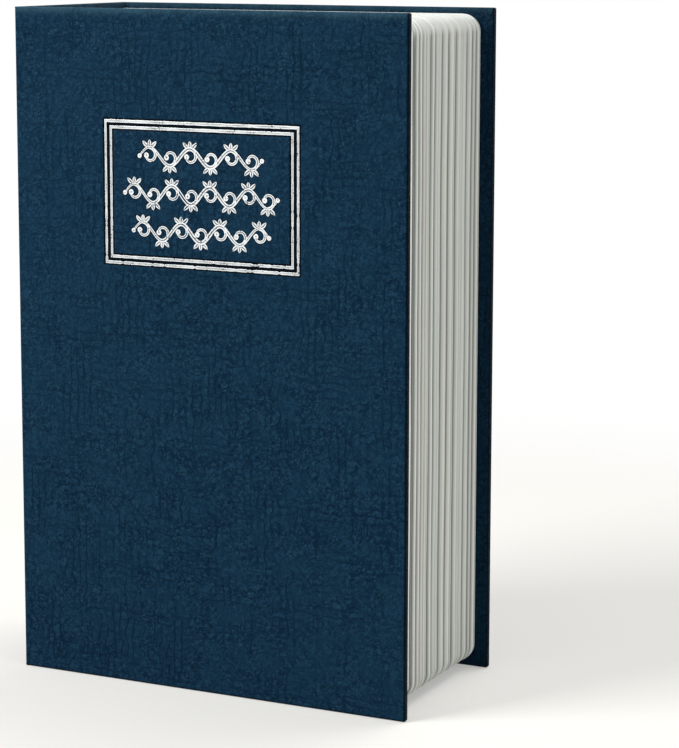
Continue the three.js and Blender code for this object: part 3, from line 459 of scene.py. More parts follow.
pages = {"color": (228, 232, 226), "warm": (219, 217, 208), "cool": (212, 222, 216), "crest": (255, 255, 254),
         "grooveShade": (20, 22, 18), "roughness": 0.5, "leaf": (250.0, 1.4, 250.0), "fine": (100 / 3, 0.16, 100 / 3),
         "plain": 0.5, "ruled": 0.16, "crestShare": 0.9, "grooveShadeShare": 0.96, "depth": 0.06}


def pagePaint():
    # Moulded white plastic; its tint drifts from leaf to leaf, the grooves and fine lines are darkened as painted
    # shade, and the crests are lightened as a painted highlight.
    paint = Paint("page_plastic")
    leaf, fine = paint.stretched(pages["leaf"], 3.0), paint.stretched(pages["fine"])
    tint = paint.mix(paint.step(leaf, 0.35, 0.65), linear(pages["warm"]), linear(pages["cool"]))
    soft = paint.mix(pages["plain"], tint, linear(pages["color"]))
    # Painted shade: the fine lines between leaves and, below, the grooves, darkened almost to black.
    ruled = paint.mix(paint.step(fine, 0.35, 0.7, 0.0, pages["ruled"]), soft, linear(pages["grooveShade"]))
    # Painted highlight: the crests lightened towards near white.
    bright = paint.mix(paint.mark("crest") * pages["crestShare"], ruled, linear(pages["crest"]))
    grooveShaded = paint.mix(paint.mark("groove") * pages["grooveShadeShare"], bright, linear(pages["grooveShade"]))
    return paint.finish(color=grooveShaded, roughness=pages["roughness"], specular=0.3,
                        normal=paint.bump(fine, pages["depth"]))


# color is the painted glints' colour; ramp, a touch lighter than smooth, offsets the shade in the recess.
hammer = {"color": (208, 209, 203), "smooth": (88, 90, 84), "ramp": (92, 94, 87), "cell": 0.8, "worm": 0.5,
          "wobble": (1.6, 1.2), "glint": (0.54, 0.66), "fine": 0.35, "depth": 0.22, "rampEdge": 0.4}


def hammerPaint(name, rampX=(), rampZ=()):
    # Hammered paint: round dimples with painted glints on their rims, and a plain skin on the bent ramps, painted a
    # touch lighter to offset the shade in the recess.
    paint = Paint(name)
    wobbleSize, wobbleReach = hammer["wobble"]
    shift = paint.noise(paint.place, wobbleSize) * wobbleReach
    wobbled = paint.node("VectorMath", {"operation": "ADD"}, {0: paint.place, 1: paint.vector(shift, shift, shift)})
    cell = paint.node("TexVoronoi", {"feature": "SMOOTH_F1"}, {"Vector": wobbled, "Scale": 1 / hammer["cell"]})
    fine = paint.noise(paint.place, hammer["fine"])
    worm = paint.noise(wobbled, hammer["worm"], 1.0, 0.5)
    ground = linear(hammer["smooth"])
    rough = 1.0
    if rampX:
        within, soft = 1.0, hammer["rampEdge"]
        for place, (low, high) in ((paint.x, rampX), (paint.z, rampZ)):
            within = within * (paint.step(place, low - soft, low + soft) * paint.fall(place, high - soft, high + soft))
        rough = 1 - within * 0.9
        # On the ramps the ground is a touch lighter: painted light that offsets the shade in the recess.
        ground = paint.mix(rough, linear(hammer["ramp"]), ground)
    height = (cell * 0.6 + worm * 0.6) * rough + fine * 0.12
    # Painted glints on the dimples' rims, left out on the ramps.
    glint = paint.step(worm, *hammer["glint"]) * paint.step(cell, 0.2, 0.5) * rough
    color = paint.mix(glint * 0.7, ground, linear(hammer["color"]))
    return paint.finish(color=color, metallic=0.15, roughness=0.36, coat=0.2, coatRoughness=0.2,
                        normal=paint.bump(height, hammer["depth"]))


metal = {"cloud": 6.0, "line": (0.25, 0.25, 9.0), "shade": 0.72}


def metalPaint(name, color, roughness, streak=0.25, metallic=1.0):
    # Plated metal with a cloudy sheen and fine drawn lines.
    paint = Paint(name)
    cloud = paint.noise(paint.place, metal["cloud"], 3.0)
    lines = paint.stretched(metal["line"])
    shade = paint.mix(paint.step(cloud + lines * 0.4, 0.45, 0.95), linear(color), linear(color, metal["shade"]))
    return paint.finish(color=shade, metallic=metallic, roughness=roughness + lines * streak * 0.5,
                        normal=paint.bump(lines, 0.01 + streak * 0.03))


plastic = {"grain": 0.35, "cloud": 9.0, "depth": 0.02, "light": (1.35, 0.004)}


def plasticPaint(name, color, roughness, specular=0.4):
    # Moulded plastic or paint with a fine spark-eroded grain and a faint cloud of handling marks.
    paint = Paint(name)
    fine = paint.noise(paint.place, plastic["grain"], 2.0, 0.6)
    cloud = paint.noise(paint.place, plastic["cloud"], 3.0)
    shade = paint.mix(paint.step(cloud, 0.35, 0.7, 0.0, 0.25), linear(color), linear(color, *plastic["light"]))
    return paint.finish(color=shade, roughness=roughness + cloud * 0.12, specular=specular,
                        normal=paint.bump(fine, plastic["depth"]))


paper = {"fibre": (0.25, 0.25, 1.6), "mottle": 3.0}


def paperPaint(name, color, fleck):
    # Paper or board: short fibres in all directions and a soft mottle.
    paint = Paint(name)
    fibre = paint.stretched(paper["fibre"], 3.0, 0.6)
    mottle = paint.noise(paint.place, paper["mottle"], 3.0)
    shade = paint.mix(paint.step(fibre + mottle * 0.5, 0.5, 1.0), linear(color), linear(fleck))
    return paint.finish(color=shade, roughness=0.85, specular=0.15, normal=paint.bump(fibre, 0.04))


# One material for each slot of the CAD model, by the slot's name, and two more for stamped places: a darker
# leather as painted shade, and the vine's foil.
paints = {
    "leatherette": leatherPaint("leatherette"),
    "pressed": leatherPaint("pressed_leatherette", 0.25),
    "foil": foilPaint("foil", 0.057, 0.08, 0.6),
    "vine": foilPaint("vine_foil", 0.003, 0.02, 1.0),
    "pages": pagePaint(),
    "hammertone": hammerPaint("hammertone"),
    "steel": metalPaint("zinc_plate", (172, 174, 174), 0.3),
    "gilt": metalPaint("gold_trim", (196, 134, 56), 0.26, 0.15, 0.9),
    "black_plastic": plasticPaint("black_plastic", (15, 15, 14), 0.4, specular=0.2),
    "white_paint": plasticPaint("white_paint", (238, 238, 234), 0.5),
    "lining": paperPaint("lining_paper", (17, 22, 30), (28, 35, 45)),
    "greyboard": paperPaint("greyboard", (138, 132, 120), (160, 152, 138)),
    "adhesive": plasticPaint("adhesive_tape", (216, 210, 192), 0.7),
}
print("materials made")


# Leatherette of the case. Its height follows the sheet as if it were laid flat, so that it runs on over each seam.

case = {
    "pitch": 0.56,          # grid of the embossed faces
    "edgeRadius": 0.45,
    "cornerRadius": 0.5,
    "leather": 0.4,
    "turnIn": 6.0,
    "foldStep": 0.16,       # thickness that the mitre of the turn-in shows
    "relief": 0.07,
    "streak": (2.1, 13),    # width and length of the streaks, and how much of the relief the waves below them make
    "waveShare": 0.35,
    "sway": (7, 2.2),       # size and reach
    "patch": (11, 15),
    "wave": 9,
    "seamFade": 1.6,
    "pressDepth": 0.13,
    "pressMargin": 0.4,
    "pressWall": 0.12,
    "jointRadius": 0.8,
    "jointDepth": 0.8,      # leather folded double where no board lies under it
    "jointTaper": (0.4, 0.05),  # how far before and past the corner the strip thins to that depth
}
frameOuter = boxOf("foil_frame_outer")
frameInner = boxOf("foil_frame_inner")
foilLine = frameInner[0][0] - frameOuter[0][0]
foilLineWidth = foilLine / 2


def embossing(u, v):
    # 0 to 1: streaks along v and along u, patch by patch, bent by a slow noise, with long soft waves below them.
    width, length = case["streak"]
    swaySize, swayReach = case["sway"]
    sway = swayReach * latticeNoise(u, v, swaySize, swaySize, 3)
    upright = latticeNoise(u + sway, v, width, length, 5)
    level = latticeNoise(u, v + sway, length, width, 8)
    patches = smoothStep(latticeNoise(u, v, *case["patch"], 13), 0.4, 0.6)
    waves = latticeNoise(u, v, case["wave"], case["wave"], 21)
    return (1 - case["waveShare"]) * (upright * patches + level * (1 - patches)) + case["waveShare"] * waves


def pressedAt(x, z):
    # 1 in the band that the foil's double line is pressed into, with short slopes at its two borders.
    centre = (frameOuter[0] + frameOuter[1]) / 2
    reach = (frameOuter[1] - frameOuter[0]) / 2
    outward = np.maximum(np.abs(x - centre[0]) - reach[0], np.abs(z - centre[2]) - reach[2])
    margin, wall = case["pressMargin"], case["pressWall"]
    bandInside = -(foilLine + foilLineWidth) - margin
    return smoothStep(-outward, -margin - wall / 2, -margin + wall / 2) * smoothStep(
        outward, bandInside - wall / 2, bandInside + wall / 2)


def pressMarks(axis):
    low, high = frameOuter[0][axis], frameOuter[1][axis]
    margin, wall = case["pressMargin"], case["pressWall"]
    depth = foilLine + foilLineWidth + margin
    borders = [low - margin, low + depth, high - depth, high + margin]
    return [b + side * wall / 2 for b in borders for side in (-1, 1)]


rows = stations(case["edgeRadius"], bookHeight - case["edgeRadius"], case["pitch"], pressMarks(2))


def softCorner(x, z, cornerX, radius):
    # Near the two fore-edge corners a square round the corner's centre is drawn in to a circle.
    centreX = cornerX - radius
    for centreZ, way in ((radius, -1), (bookHeight - radius, 1)):
        a, b = x - centreX, way * (z - centreZ)
        near = (a > 0) & (b > 0)
        shrink = np.maximum(a, b) / np.maximum(np.hypot(a, b), 1e-9)
        x = np.where(near, centreX + a * shrink, x)
        z = np.where(near, centreZ + way * b * shrink, z)
    return x, z


def coverShell(faceY, inward, cutX, pressing):
    # The outer face is a grid over columns and rows. Its tail, fore edge and head carry on as rings, each a distance
    # out from the grid's border and a depth behind the face: a quarter circle, the flat edge, a second quarter circle
    # and the turn-in, then back along the inside of the leather. The mitre clamps each ring to its own rectangle.
    radius, thick = case["edgeRadius"], boardThickness
    columns = stations(cutX, foreX - radius, case["pitch"], pressMarks(0) if pressing else ())
    gridX, gridZ = np.meshgrid(columns, rows, indexing="ij")
    fade = smoothStep(gridX, cutX, cutX + case["seamFade"])
    height = embossing(gridX + faceY, gridZ)
    press = pressedAt(gridX, gridZ) if pressing else np.zeros_like(gridX)
    dip = case["relief"] * (1 - height * fade) * (1 - press) + case["pressDepth"] * press
    faceIds = np.arange(gridX.size).reshape(gridX.shape)

    # The border from tail to head: point of the face, way out along x and z, and 1 on the fore edge.
    rise = np.linspace(0, 1, 6)
    fall = rise[::-1][1:]
    low, high = faceIds[-1, 0], faceIds[-1, -1]
    border = [(k, 0, -1, 0) for k in faceIds[:-1, 0]]
    border += [(low, t, -1, 0) for t in rise] + [(low, 1, -t, 1) for t in fall]
    border += [(k, 1, 0, 1) for k in faceIds[-1, 1:-1]]
    border += [(high, 1, t, 1) for t in rise] + [(high, t, 1, 0) for t in fall]
    border += [(k, 0, 1, 0) for k in faceIds[-2::-1, -1]]
    ids, outX, outZ, onFore = np.array(border, float).T
    ids = ids.astype(int)
    baseX, baseZ, baseDip = gridX.ravel()[ids], gridZ.ravel()[ids], dip.ravel()[ids]

    turn = np.linspace(0, math.pi / 2, 6)[1:]
    rings = [(radius * math.sin(a), radius * (1 - math.cos(a)), math.cos(a)) for a in turn]
    rings += [(radius * math.cos(a), thick - radius * (1 - math.sin(a)), 0) for a in np.r_[0, turn]]
    inset = case["turnIn"] - radius
    rings += [(-inset * t, thick, 0) for t in (0.2, 0.45, 0.7, 0.97)]
    rings += [(-inset, thick - 0.1, 0), (-inset, thick - case["leather"], 0)]
    rings += [(radius - case["leather"], thick - case["leather"], 0), (radius - case["leather"], case["leather"], 0)]
    points = [np.stack([gridX.ravel(), dip.ravel(), gridZ.ravel()], 1)]
    for out, depth, follow in rings:
        x = baseX + outX * out
        z = baseZ + outZ * out
        if out < 0:
            x = np.minimum(x, columns[-1] + out)
            z = np.clip(z, rows[0] - out, rows[-1] + out)
        fold = case["foldStep"] * (1 - onFore) if depth > thick - 0.2 and out < 0 else 0
        points.append(np.stack([x, depth + baseDip * follow - fold, z], 1))
    points = np.concatenate(points)
    points[:, 0], points[:, 2] = softCorner(points[:, 0], points[:, 2], foreX, case["cornerRadius"])
    points[:, 1] = faceY + inward * points[:, 1]

    faces = gridQuads(faceIds).tolist()
    chain = [ids] + [gridX.size + k * len(ids) + np.arange(len(ids)) for k in range(len(rings))]
    for here, after in zip(chain[:-1], chain[1:]):
        faces += np.stack([here[:-1], here[1:], after[1:], after[:-1]], -1).tolist()
    faces.append(chain[-1].tolist())
    faces.append([c[0] for c in chain[::-1]] + faceIds[0, 1:-1].tolist() + [c[-1] for c in chain])
    # The pressed band is also a mark that the leather's colour darkens as painted shade.
    pressed = np.zeros(len(points))
    pressed[:press.size] = press.ravel()
    # A face keeps no vertex that follows itself.
    return points, [[v for k, v in enumerate(face) if v != face[k - 1]] for face in faces], pressed


def wrapProfile():
    # The leather's section from tail to head, as (height, depth): the turn-in, round the board's edge, the face rows,
    # round the other edge and the other turn-in, and back along the inside.
    radius, thick, sheet = case["edgeRadius"], boardThickness, case["leather"]
    turn = np.linspace(0, math.pi / 2, 6)
    tail = [(case["turnIn"] * t + radius * (1 - t), thick) for t in (1, 0.75, 0.5, 0.25)]
    tail += [(radius * (1 - math.sin(a)), thick - radius * (1 - math.cos(a))) for a in turn]
    tail += [(radius * (1 - math.cos(a)), radius * (1 - math.sin(a))) for a in turn[:-1]]
    face = [(z, 0.0) for z in rows]
    head = [(bookHeight - z, d) for z, d in tail[::-1]]
    back = [(bookHeight - case["turnIn"], thick - sheet), (bookHeight - sheet, thick - sheet),
            (bookHeight - sheet, sheet), (sheet, sheet), (sheet, thick - sheet), (case["turnIn"], thick - sheet)]
    section = np.array(tail + face + head + back)
    onFace = np.zeros(len(section))
    onFace[len(tail):len(tail) + len(face)] = 1
    return section, onFace


def wrapSheet(along, place, depthShare, fade):
    # The section carried along the sheet: place gives a point's x and y from how far along it is and how deep.
    section, onFace = wrapProfile()
    s = np.repeat(along[:, None], len(section), 1)
    z = np.repeat(section[None, :, 0], len(along), 0)
    depth = section[None, :, 1] * depthShare[:, None]
    x, y, u = place(s, depth)
    height = embossing(u, z)
    depth = depth + onFace[None, :] * case["relief"] * (1 - height * fade[:, None])
    x, y, _ = place(s, depth)
    return skin(np.stack([x, y, z], -1))


def jointPlace(faceY, inward):
    # From the seam on a cover, straight to the corner, round it by a quarter circle, and straight on to the spine.
    radius = case["jointRadius"]
    straight = stripHigh[0] - spineX - radius
    bend = radius * math.pi / 2

    def place(s, depth):
        angle = np.clip((s - straight) / radius, 0, math.pi / 2)
        lead = np.minimum(s, straight)
        rest = np.maximum(s - straight - bend, 0)
        x = stripHigh[0] - lead - (radius - depth) * np.sin(angle)
        fromFace = radius - (radius - depth) * np.cos(angle) + rest
        return x, faceY + inward * fromFace, stripHigh[0] + faceY - s
    return place, straight, bend


def jointStrip(faceY, inward, spineEdge):
    place, straight, bend = jointPlace(faceY, inward)
    reach = straight + bend + abs(spineEdge - faceY) - case["jointRadius"]
    along = np.concatenate([
        stations(0, straight, case["pitch"]),
        straight + bend * np.linspace(0, 1, 12)[1:],
        np.linspace(straight + bend, reach, 5)[1:],
    ])
    thin = case["jointDepth"] / boardThickness
    before, past = case["jointTaper"]
    share = 1 - (1 - thin) * smoothStep(along, straight - before, straight + past)
    fade = smoothStep(along, 0, case["seamFade"]) * (1 - smoothStep(along, straight - case["seamFade"], straight))
    return wrapSheet(along, place, share, fade)


def spineSheet():
    along = stations(spineLow[1], spineHigh[1], case["pitch"])
    edge = np.minimum(along - spineLow[1], spineHigh[1] - along)

    def place(s, depth):
        return spineX + depth, s, spineX + s

    return wrapSheet(along, place, np.ones(len(along)), smoothStep(edge, 0, case["seamFade"]))


# The two covers with their seam to the spine: face, way inwards, body and the spine's edge.
covers = {
    "front": (frontY, 1, "front_cover", spineLow[1]),
    "back": (backY, -1, "book_body", spineHigh[1]),
}
for side, (faceY, inward, body, _) in covers.items():
    points, faces, pressed = coverShell(faceY, inward, stripHigh[0], side == "front")
    marks = {"pressed": pressed} if side == "front" else ()
    makePiece(side + "CoverLeather", (points, faces), "leatherette", body, [side + "_cover_leatherette"], 50, marks)
makePiece("spineLeather", spineSheet(), "leatherette", "spine", ["spine_leatherette"], 50)


def blendRound(piece, x, y, inward, radius):
    # Bakes the piece's placement into its mesh; the end of a quarter-turn bend from the cover to the spine is
    # worked out from the other arguments, but nothing bends the piece.
    end = np.array([x, y + inward * radius, bookHeight / 2]) * millimetre
    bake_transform(piece)


for side, (faceY, inward, body, edge) in covers.items():
    joint = makePiece(side + "JointLeather", jointStrip(faceY, inward, edge), "leatherette", None,
                      [side + "_joint_strip"], 50)
    blendRound(joint, spineX, faceY, inward, case["jointRadius"])
print("leatherette made")


# Page block: an uneven profile of leaves carried round tail, fore edge and head, as a channel open to the box.

block = {
    "corner": 5.0,
    "wall": 1.8,
    "flange": 1.5,
    "edgeRound": 0.35,
    "deep": {"at": (-22.9, -16.5, -13.2, -11.0, -5.9, -3.45, 1.1, 5.2, 9.9, 16.9, 20.6, 23.0),
             "depth": (0.5, 0.75, 0.65, 0.6, 0.6, 0.55, 0.55, 0.55, 0.6, 0.55, 0.6, 0.6),
             "dark": (0.8, 1, 1, 0.95, 0.95, 0.9, 0.92, 0.92, 1, 0.85, 0.97, 1),
             "half": (0.5, 1.0, 0.68, 0.62, 0.66, 0.62, 0.66, 0.64, 0.7, 0.6, 0.64, 0.6)},
    "light": {"at": (-21.2, -19.6, -15.4, -9.0, -7.5, -1.4, -0.2, 2.3, 4.1, 6.3, 8.2, 10.7, 12.6, 13.4, 14.3, 15.6,
                     18.0, 19.6, 22.0),
              "depth": (0.2, 0.2, 0.4, 0.3, 0.16, 0.16, 0.1, 0.12, 0.1, 0.1, 0.3, 0.12, 0.16, 0.1, 0.2, 0.1,
                        0.12, 0.1, 0.1),
              "dark": (0.3, 0.3, 0.7, 0.5, 0.25, 0.25, 0.12, 0.15, 0.12, 0.12, 0.5, 0.15, 0.25, 0.12, 0.3, 0.12,
                       0.15, 0.12, 0.1), "half": 0.34},
    "ridge": {"at": (-18.7, -17.9, -14.3, -12.1, -8.0, -4.65, -1.0, 3.15, 7.3, 11.7, 15.5, 18.7, 21.8, 24.2),
              "height": (0.2, 0.14, 0.16, 0.16, 0.06, 0.14, 0.04, 0.08, 0.1, 0.08, 0.06, 0.08, 0.06, 0.18),
              "bright": (1, 0.5, 0.85, 0.85, 0.15, 0.75, 0.1, 0.25, 0.4, 0.2, 0.15, 0.35, 0.25, 1),
              "half": (0.7, 0.6, 0.6, 0.55, 0.6, 0.6, 0.6, 0.6, 0.6, 0.6, 0.6, 0.6, 0.5, 0.6)},
    "headFade": 0.95,
    "headDepthFade": 0.6,
    "headSpan": (0.75, 0.05),  # where the fades begin and end before the head, as shares of the corner's radius
    "base": 0.2,
    "wander": 0.2,
    "wanderCells": (34, 9),
    "ripple": ((0.42, 0.08), (2.3, 0.12)),  # size and height of the waves between the leaves
    "trayGap": 0.3,
    "pitchY": 0.125,
    "pitchAlong": 3.0,
    "seed": 40,
}


def bells(at, centres, amounts, half):
    # Sum of the amounts times exp(-1.6 (distance / half)^2), one bell for each centre.
    total = np.zeros(np.shape(at))
    count = len(centres)
    for centre, amount, width in zip(centres, np.broadcast_to(amounts, count), np.broadcast_to(half, count)):
        total = total + amount * np.exp(-((at - centre) / width) ** 2 * 1.6)
    return total


def leafDepth(y, along):
    # How far the surface lies inside the block's outline: a base, valleys at the grooves, crests at the bright
    # leaves, and a fine ripple; every feature wanders a little along the edge. The valleys' and crests' own
    # strengths come with it, for the painted shade in the grooves and the painted highlight on the crests.
    deep, light, ridge = block["deep"], block["light"], block["ridge"]
    slow, quick = block["wanderCells"]
    wander = latticeNoise(along, y * 0.2, slow, 3.0, block["seed"]) + 0.3 * latticeNoise(along, y, quick, 3.0, 5)
    at = y + block["wander"] * (wander - 0.65) * 2
    depth = block["base"] + bells(at, deep["at"], deep["depth"], deep["half"])
    depth += bells(at, light["at"], light["depth"], light["half"])
    depth -= bells(at, ridge["at"], ridge["height"], ridge["half"])
    for number, (cell, height) in enumerate(block["ripple"], 1):
        depth += height * (latticeNoise(at, along * 0.01, cell, 1, block["seed"] + number) - 0.5)
    groove = bells(at, deep["at"], deep["dark"], deep["half"]) + bells(at, light["at"], light["dark"], light["half"])
    crest = bells(at, ridge["at"], ridge["bright"], ridge["half"])
    return np.maximum(depth, 0.0), np.clip(groove, 0, 1), np.clip(crest, 0, 1)


def blockStations():
    # The outline, each place's distance along it, and whether the channel is shut there, at its two ends.
    r = block["corner"]
    x0, x1, z0, z1 = pageLow[0], pageHigh[0], pageLow[2], pageHigh[2]
    endWall, step = x0 + block["wall"], block["pitchAlong"]
    tailX = np.r_[x0, endWall, endWall + 0.001, stations(endWall + step, x1 - r, step)]
    turn = np.linspace(0, math.pi / 2, 14)[1:-1]
    path = channelPath(x1, z0, z1, r, tailX, stations(z0 + r, z1 - r, step), turn)
    outer = path[:, :2] + path[:, 2:] * r
    distance = np.r_[0, np.cumsum(np.linalg.norm(np.diff(outer, axis=0), axis=1))]
    shut = (path[:, 0] <= endWall) & (path[:, 2] == 0)
    return path, distance, shut


def pageBlock():
    path, distance, shut = blockStations()
    r, wall, flange = block["corner"], block["wall"], block["flange"]
    y0, y1 = pageLow[1], pageHigh[1]
    x1, z0, z1 = pageHigh[0], pageLow[2], pageHigh[2]
    holeDepth = x1 - boxOf("tray")[1][0] - block["trayGap"]
    y = np.linspace(y0, y1, int((y1 - y0) / block["pitchY"]) + 1)
    depth, groove, crest = leafDepth(y[None, :], distance[:, None])
    # The grooves and their painted shade run out in the lower half of the head corner's rounding.
    headStart = distance[-1] - (x1 - pageLow[0])
    onHead = smoothStep(distance, *(headStart - share * r for share in block["headSpan"]))[:, None]
    depth = depth * (1 - block["headDepthFade"] * onHead)
    groove = groove * (1 - block["headFade"] * onHead)
    roundOff = block["edgeRound"]
    for edge in (y - y0, y1 - y):
        t = np.clip(1 - edge / roundOff, 0, 1)
        depth = depth + roundOff * (1 - np.sqrt(1 - t * t))[None, :]
    channel = [(holeDepth, y1), (holeDepth, y1 - flange), (wall, y1 - flange), (wall, y0 + flange),
               (holeDepth, y0 + flange), (holeDepth, y0)]
    extraY = np.array([c[1] for c in channel])
    extraDepth = np.repeat(np.array([[c[0] for c in channel]]), len(path), 0)
    extraDepth[shut] = holeDepth
    allDepth = np.concatenate([depth, extraDepth], 1)
    allY = np.repeat(np.concatenate([y, extraY])[None, :], len(path), 0)
    x = path[:, None, 0] + path[:, None, 2] * (r - allDepth)
    z = path[:, None, 1] + path[:, None, 3] * (r - allDepth)
    x = np.minimum(x, x1 - allDepth)
    z = np.clip(z, z0 + allDepth, z1 - allDepth)
    shape = skin(np.stack([x, allY, z], -1))
    rest = np.zeros_like(extraDepth)
    return shape, {mark: np.concatenate([values, rest], 1).ravel()
                   for mark, values in (("groove", groove), ("crest", crest))}


pageShape, pageMarks = pageBlock()
makePiece("pageBlock", pageShape, "pages", "book_body", ["page_frame"], 50, pageMarks)
print("page block made")


# Foil: two frame lines and three rows of vine, each a shallow trough of foil with a pressed border painted dark as
# shade.

stamp = {
    "lineSection": [(-1, 0.14), (-1, 0.075), (-0.8, 0.055), (-0.4, 0.075), (0, 0.085), (0.4, 0.075), (0.8, 0.055),
                    (1, 0.075), (1, 0.14)],
    "vineSection": [(-1, 0.1), (-1, 0.015), (-0.7, 0.0), (0, 0.02), (0.7, 0.0), (1, 0.015), (1, 0.1)],
    "shadeSection": [(-1, 0.1), (-1, 0.02), (-0.8, 0.012), (0, 0.018), (0.8, 0.012), (1, 0.02), (1, 0.1)],
    "pitch": 0.6,
    "lineEdgeWander": 0.07,
    "edgeCell": 1.1,
    "chipCell": 0.7,
    "cornerHalf": 1.5,       # half width at the corners beside that of the upright lines
    "levelHalf": 0.5,        # half widths as shares of the line's width: level lines are broader than upright ones
    "uprightHalf": 0.41,
    "chip": 0.55,
    "shadeMargin": 0.24,
    "swing": 2.3,
    "stem": (0.5, 1.15),
    "curlRadius": (2.1, 0.95),
    "curlSweep": 1.5 * math.pi,
    "curl": (0.95, 0.65),
    "bud": 0.78,
    "endBud": 0.85,          # size of the buds at the stem's ends beside the curls' buds
    "leafWidth": 1.1,
    "leaves": ((-1.05, 2.2), (0.0, 1.6), (1.05, 2.2)),  # each leaf's turn from upright and its length
    "rows": (("top", 36, 6), ("middle", 45, 8), ("bottom", 40, 7)),
}


def onFront(rings):  # from (x, z, depth) to the frame, with depth counted behind the front face
    return np.stack([rings[..., 0], frontY + rings[..., 2], rings[..., 1]], -1)


def frameLine(low, high, width, seed):
    # The middle of the line, as a rectangle with close stations; its half width wavers along the way.
    x0, x1, z0, z1 = low[0] + width / 2, high[0] - width / 2, low[2] + width / 2, high[2] - width / 2
    xs, zs = stations(x0, x1, stamp["pitch"]), stations(z0, z1, stamp["pitch"])
    flat = np.array([(x, z0) for x in xs[1:]] + [(x1, z) for z in zs[1:]]
                    + [(x, z1) for x in xs[-2::-1]] + [(x0, z) for z in zs[-2::-1]])
    corners = np.cumsum([len(xs) - 1, len(zs) - 1] * 2) - 1
    place = np.arange(len(flat))
    along = place * stamp["pitch"]
    level = (place <= corners[0]) | (place > corners[1]) & (place <= corners[2])
    half = np.where(level, width * stamp["levelHalf"], width * stamp["uprightHalf"])
    half = half + stamp["lineEdgeWander"] * (latticeNoise(along, 0 * along, stamp["edgeCell"], 1, seed) - 0.7)
    chips = smoothStep(latticeNoise(along, 0 * along, stamp["chipCell"], 1, seed + 9), 0.82, 0.95)
    half = half * (1 - stamp["chip"] * chips * (flat[:, 1] < (z0 + z1) / 2))
    half[corners] = width * stamp["uprightHalf"] * stamp["cornerHalf"]
    rings = ribbon(flat, half, stamp["lineSection"], closed=True)
    return skin(onFront(rings), loop=True)


def disc(centre, radius, section):
    # A round bud: the section's right half turned about its middle.
    half = [(radius * share, height) for share, height in section if share >= 0]
    return skin(onFront(turned(half, centre, fullTurn(18))))


def vine(centreX, midline, length, turns, grow, section):
    # Stem: x runs along the row and z is the swing times sin(pi t). Curl: a spiral whose radius shrinks evenly.
    bend = length / turns
    t = np.linspace(0, turns, turns * 16 + 1)
    stem = np.stack([centreX - length / 2 + t * bend, midline + stamp["swing"] * np.sin(math.pi * t)], 1)
    thin, thick = stamp["stem"]
    half = (thin + (thick - thin) * np.sin(math.pi * t / turns)) / 2 + grow
    parts = [skin(onFront(ribbon(stem, half, section)))]
    big, small = stamp["curlRadius"]
    for k in range(turns):
        side = 1 if k % 2 == 0 else -1
        share = np.linspace(0, 1, 30)
        radius = big + (small - big) * share
        angle = side * (math.pi / 2 - stamp["curlSweep"] * share)
        cx = centreX - length / 2 + (k + 0.5) * bend
        cz = midline + side * (stamp["swing"] - big)
        curl = np.stack([cx + radius * np.cos(angle), cz + radius * np.sin(angle)], 1)
        first, last = stamp["curl"]
        parts.append(skin(onFront(ribbon(curl, (first + (last - first) * share) / 2 + grow, section))))
        parts.append(disc(curl[-1], stamp["bud"] + grow, section))
        for turn, reach in stamp["leaves"]:
            parts.append(leaf(cx, midline + side * stamp["swing"], side, turn, reach, grow, section))
    for end in (0, -1):
        parts.append(disc(stem[end], stamp["bud"] * stamp["endBud"] + grow, section))
    return joined(parts)


def leaf(x, z, side, turn, length, grow, section):
    # A blade that starts on the stem's bend and leans outward: its width follows sin(pi t) to the power 0.8.
    t = np.linspace(0, 1, 12)
    reach = 0.35 + t * length
    lean = turn * (1.1 - 0.25 * t)
    line = np.stack([x + reach * np.sin(lean), z + side * reach * np.cos(lean)], 1)
    half = stamp["leafWidth"] / 2 * np.sin(math.pi * (0.06 + 0.9 * t)) ** 0.8 + grow
    return skin(onFront(ribbon(line, half, section)))


for name, node, seed in (("foilFrameOuter", "foil_frame_outer", 61), ("foilFrameInner", "foil_frame_inner", 62)):
    low, high = boxOf(node)
    makePiece(name, frameLine(low, high, foilLineWidth, seed), "foil", "front_cover", [node], 60)
panelX = (frameOuter[0][0] + frameOuter[1][0]) / 2
for row, length, turns in stamp["rows"]:
    node = "foil_scroll_" + row
    low, high = boxOf(node)
    midline = (low[2] + high[2]) / 2
    name = row.capitalize()
    # Round each vine a darker leather sheet, the painted shade of its pressed border, then the vine's foil.
    shadeShape = vine(panelX, midline, length, turns, stamp["shadeMargin"], stamp["shadeSection"])
    makePiece("pressedRim" + name, shadeShape, "leatherette", "front_cover", (), 60, paint="pressed")
    foilShape = vine(panelX, midline, length, turns, 0.0, stamp["vineSection"])
    makePiece("foilVine" + name, foilShape, "foil", "front_cover", [node], 60, paint="vine")
print("foil made")


# Inside joints: the lining paper folds over the gap between each cover and the spine.

inside = {"thickness": 0.12, "onCover": {"front": 4.5, "back": 0.2}, "onSpine": 5.0, "fold": 0.22, "ends": 6.5}


def insideJoint(faceY, inward, onCover):
    # From the cover's inner face, round a tight fold in the corner, and along the spine's inner face.
    innerY = faceY + inward * boardThickness
    innerX = spineX + boardThickness
    fold = inside["fold"]
    turn = np.linspace(0, math.pi / 2, 24)
    line = [(innerX + fold + onCover * t, 0.0) for t in np.linspace(1, 0, 6)[:-1]]
    line += [(innerX + fold * (1 - math.sin(a)), fold * (1 - math.cos(a))) for a in turn]
    line += [(innerX, fold + inside["onSpine"] * t) for t in np.linspace(0, 1, 6)[1:]]
    line = np.array(line)
    upper = line - leftOf(line) * inside["thickness"]
    rings = bandRings(line, upper, inside["ends"], bookHeight - inside["ends"])
    rings[..., 1] = innerY + inward * rings[..., 1]
    return skin(rings)


for side, (faceY, inward, body, _) in covers.items():
    lining = makePiece(side + "JointLining", insideJoint(faceY, inward, inside["onCover"][side]), "lining")
    blendRound(lining, spineX + boardThickness, faceY + inward * boardThickness, inward, inside["fold"])


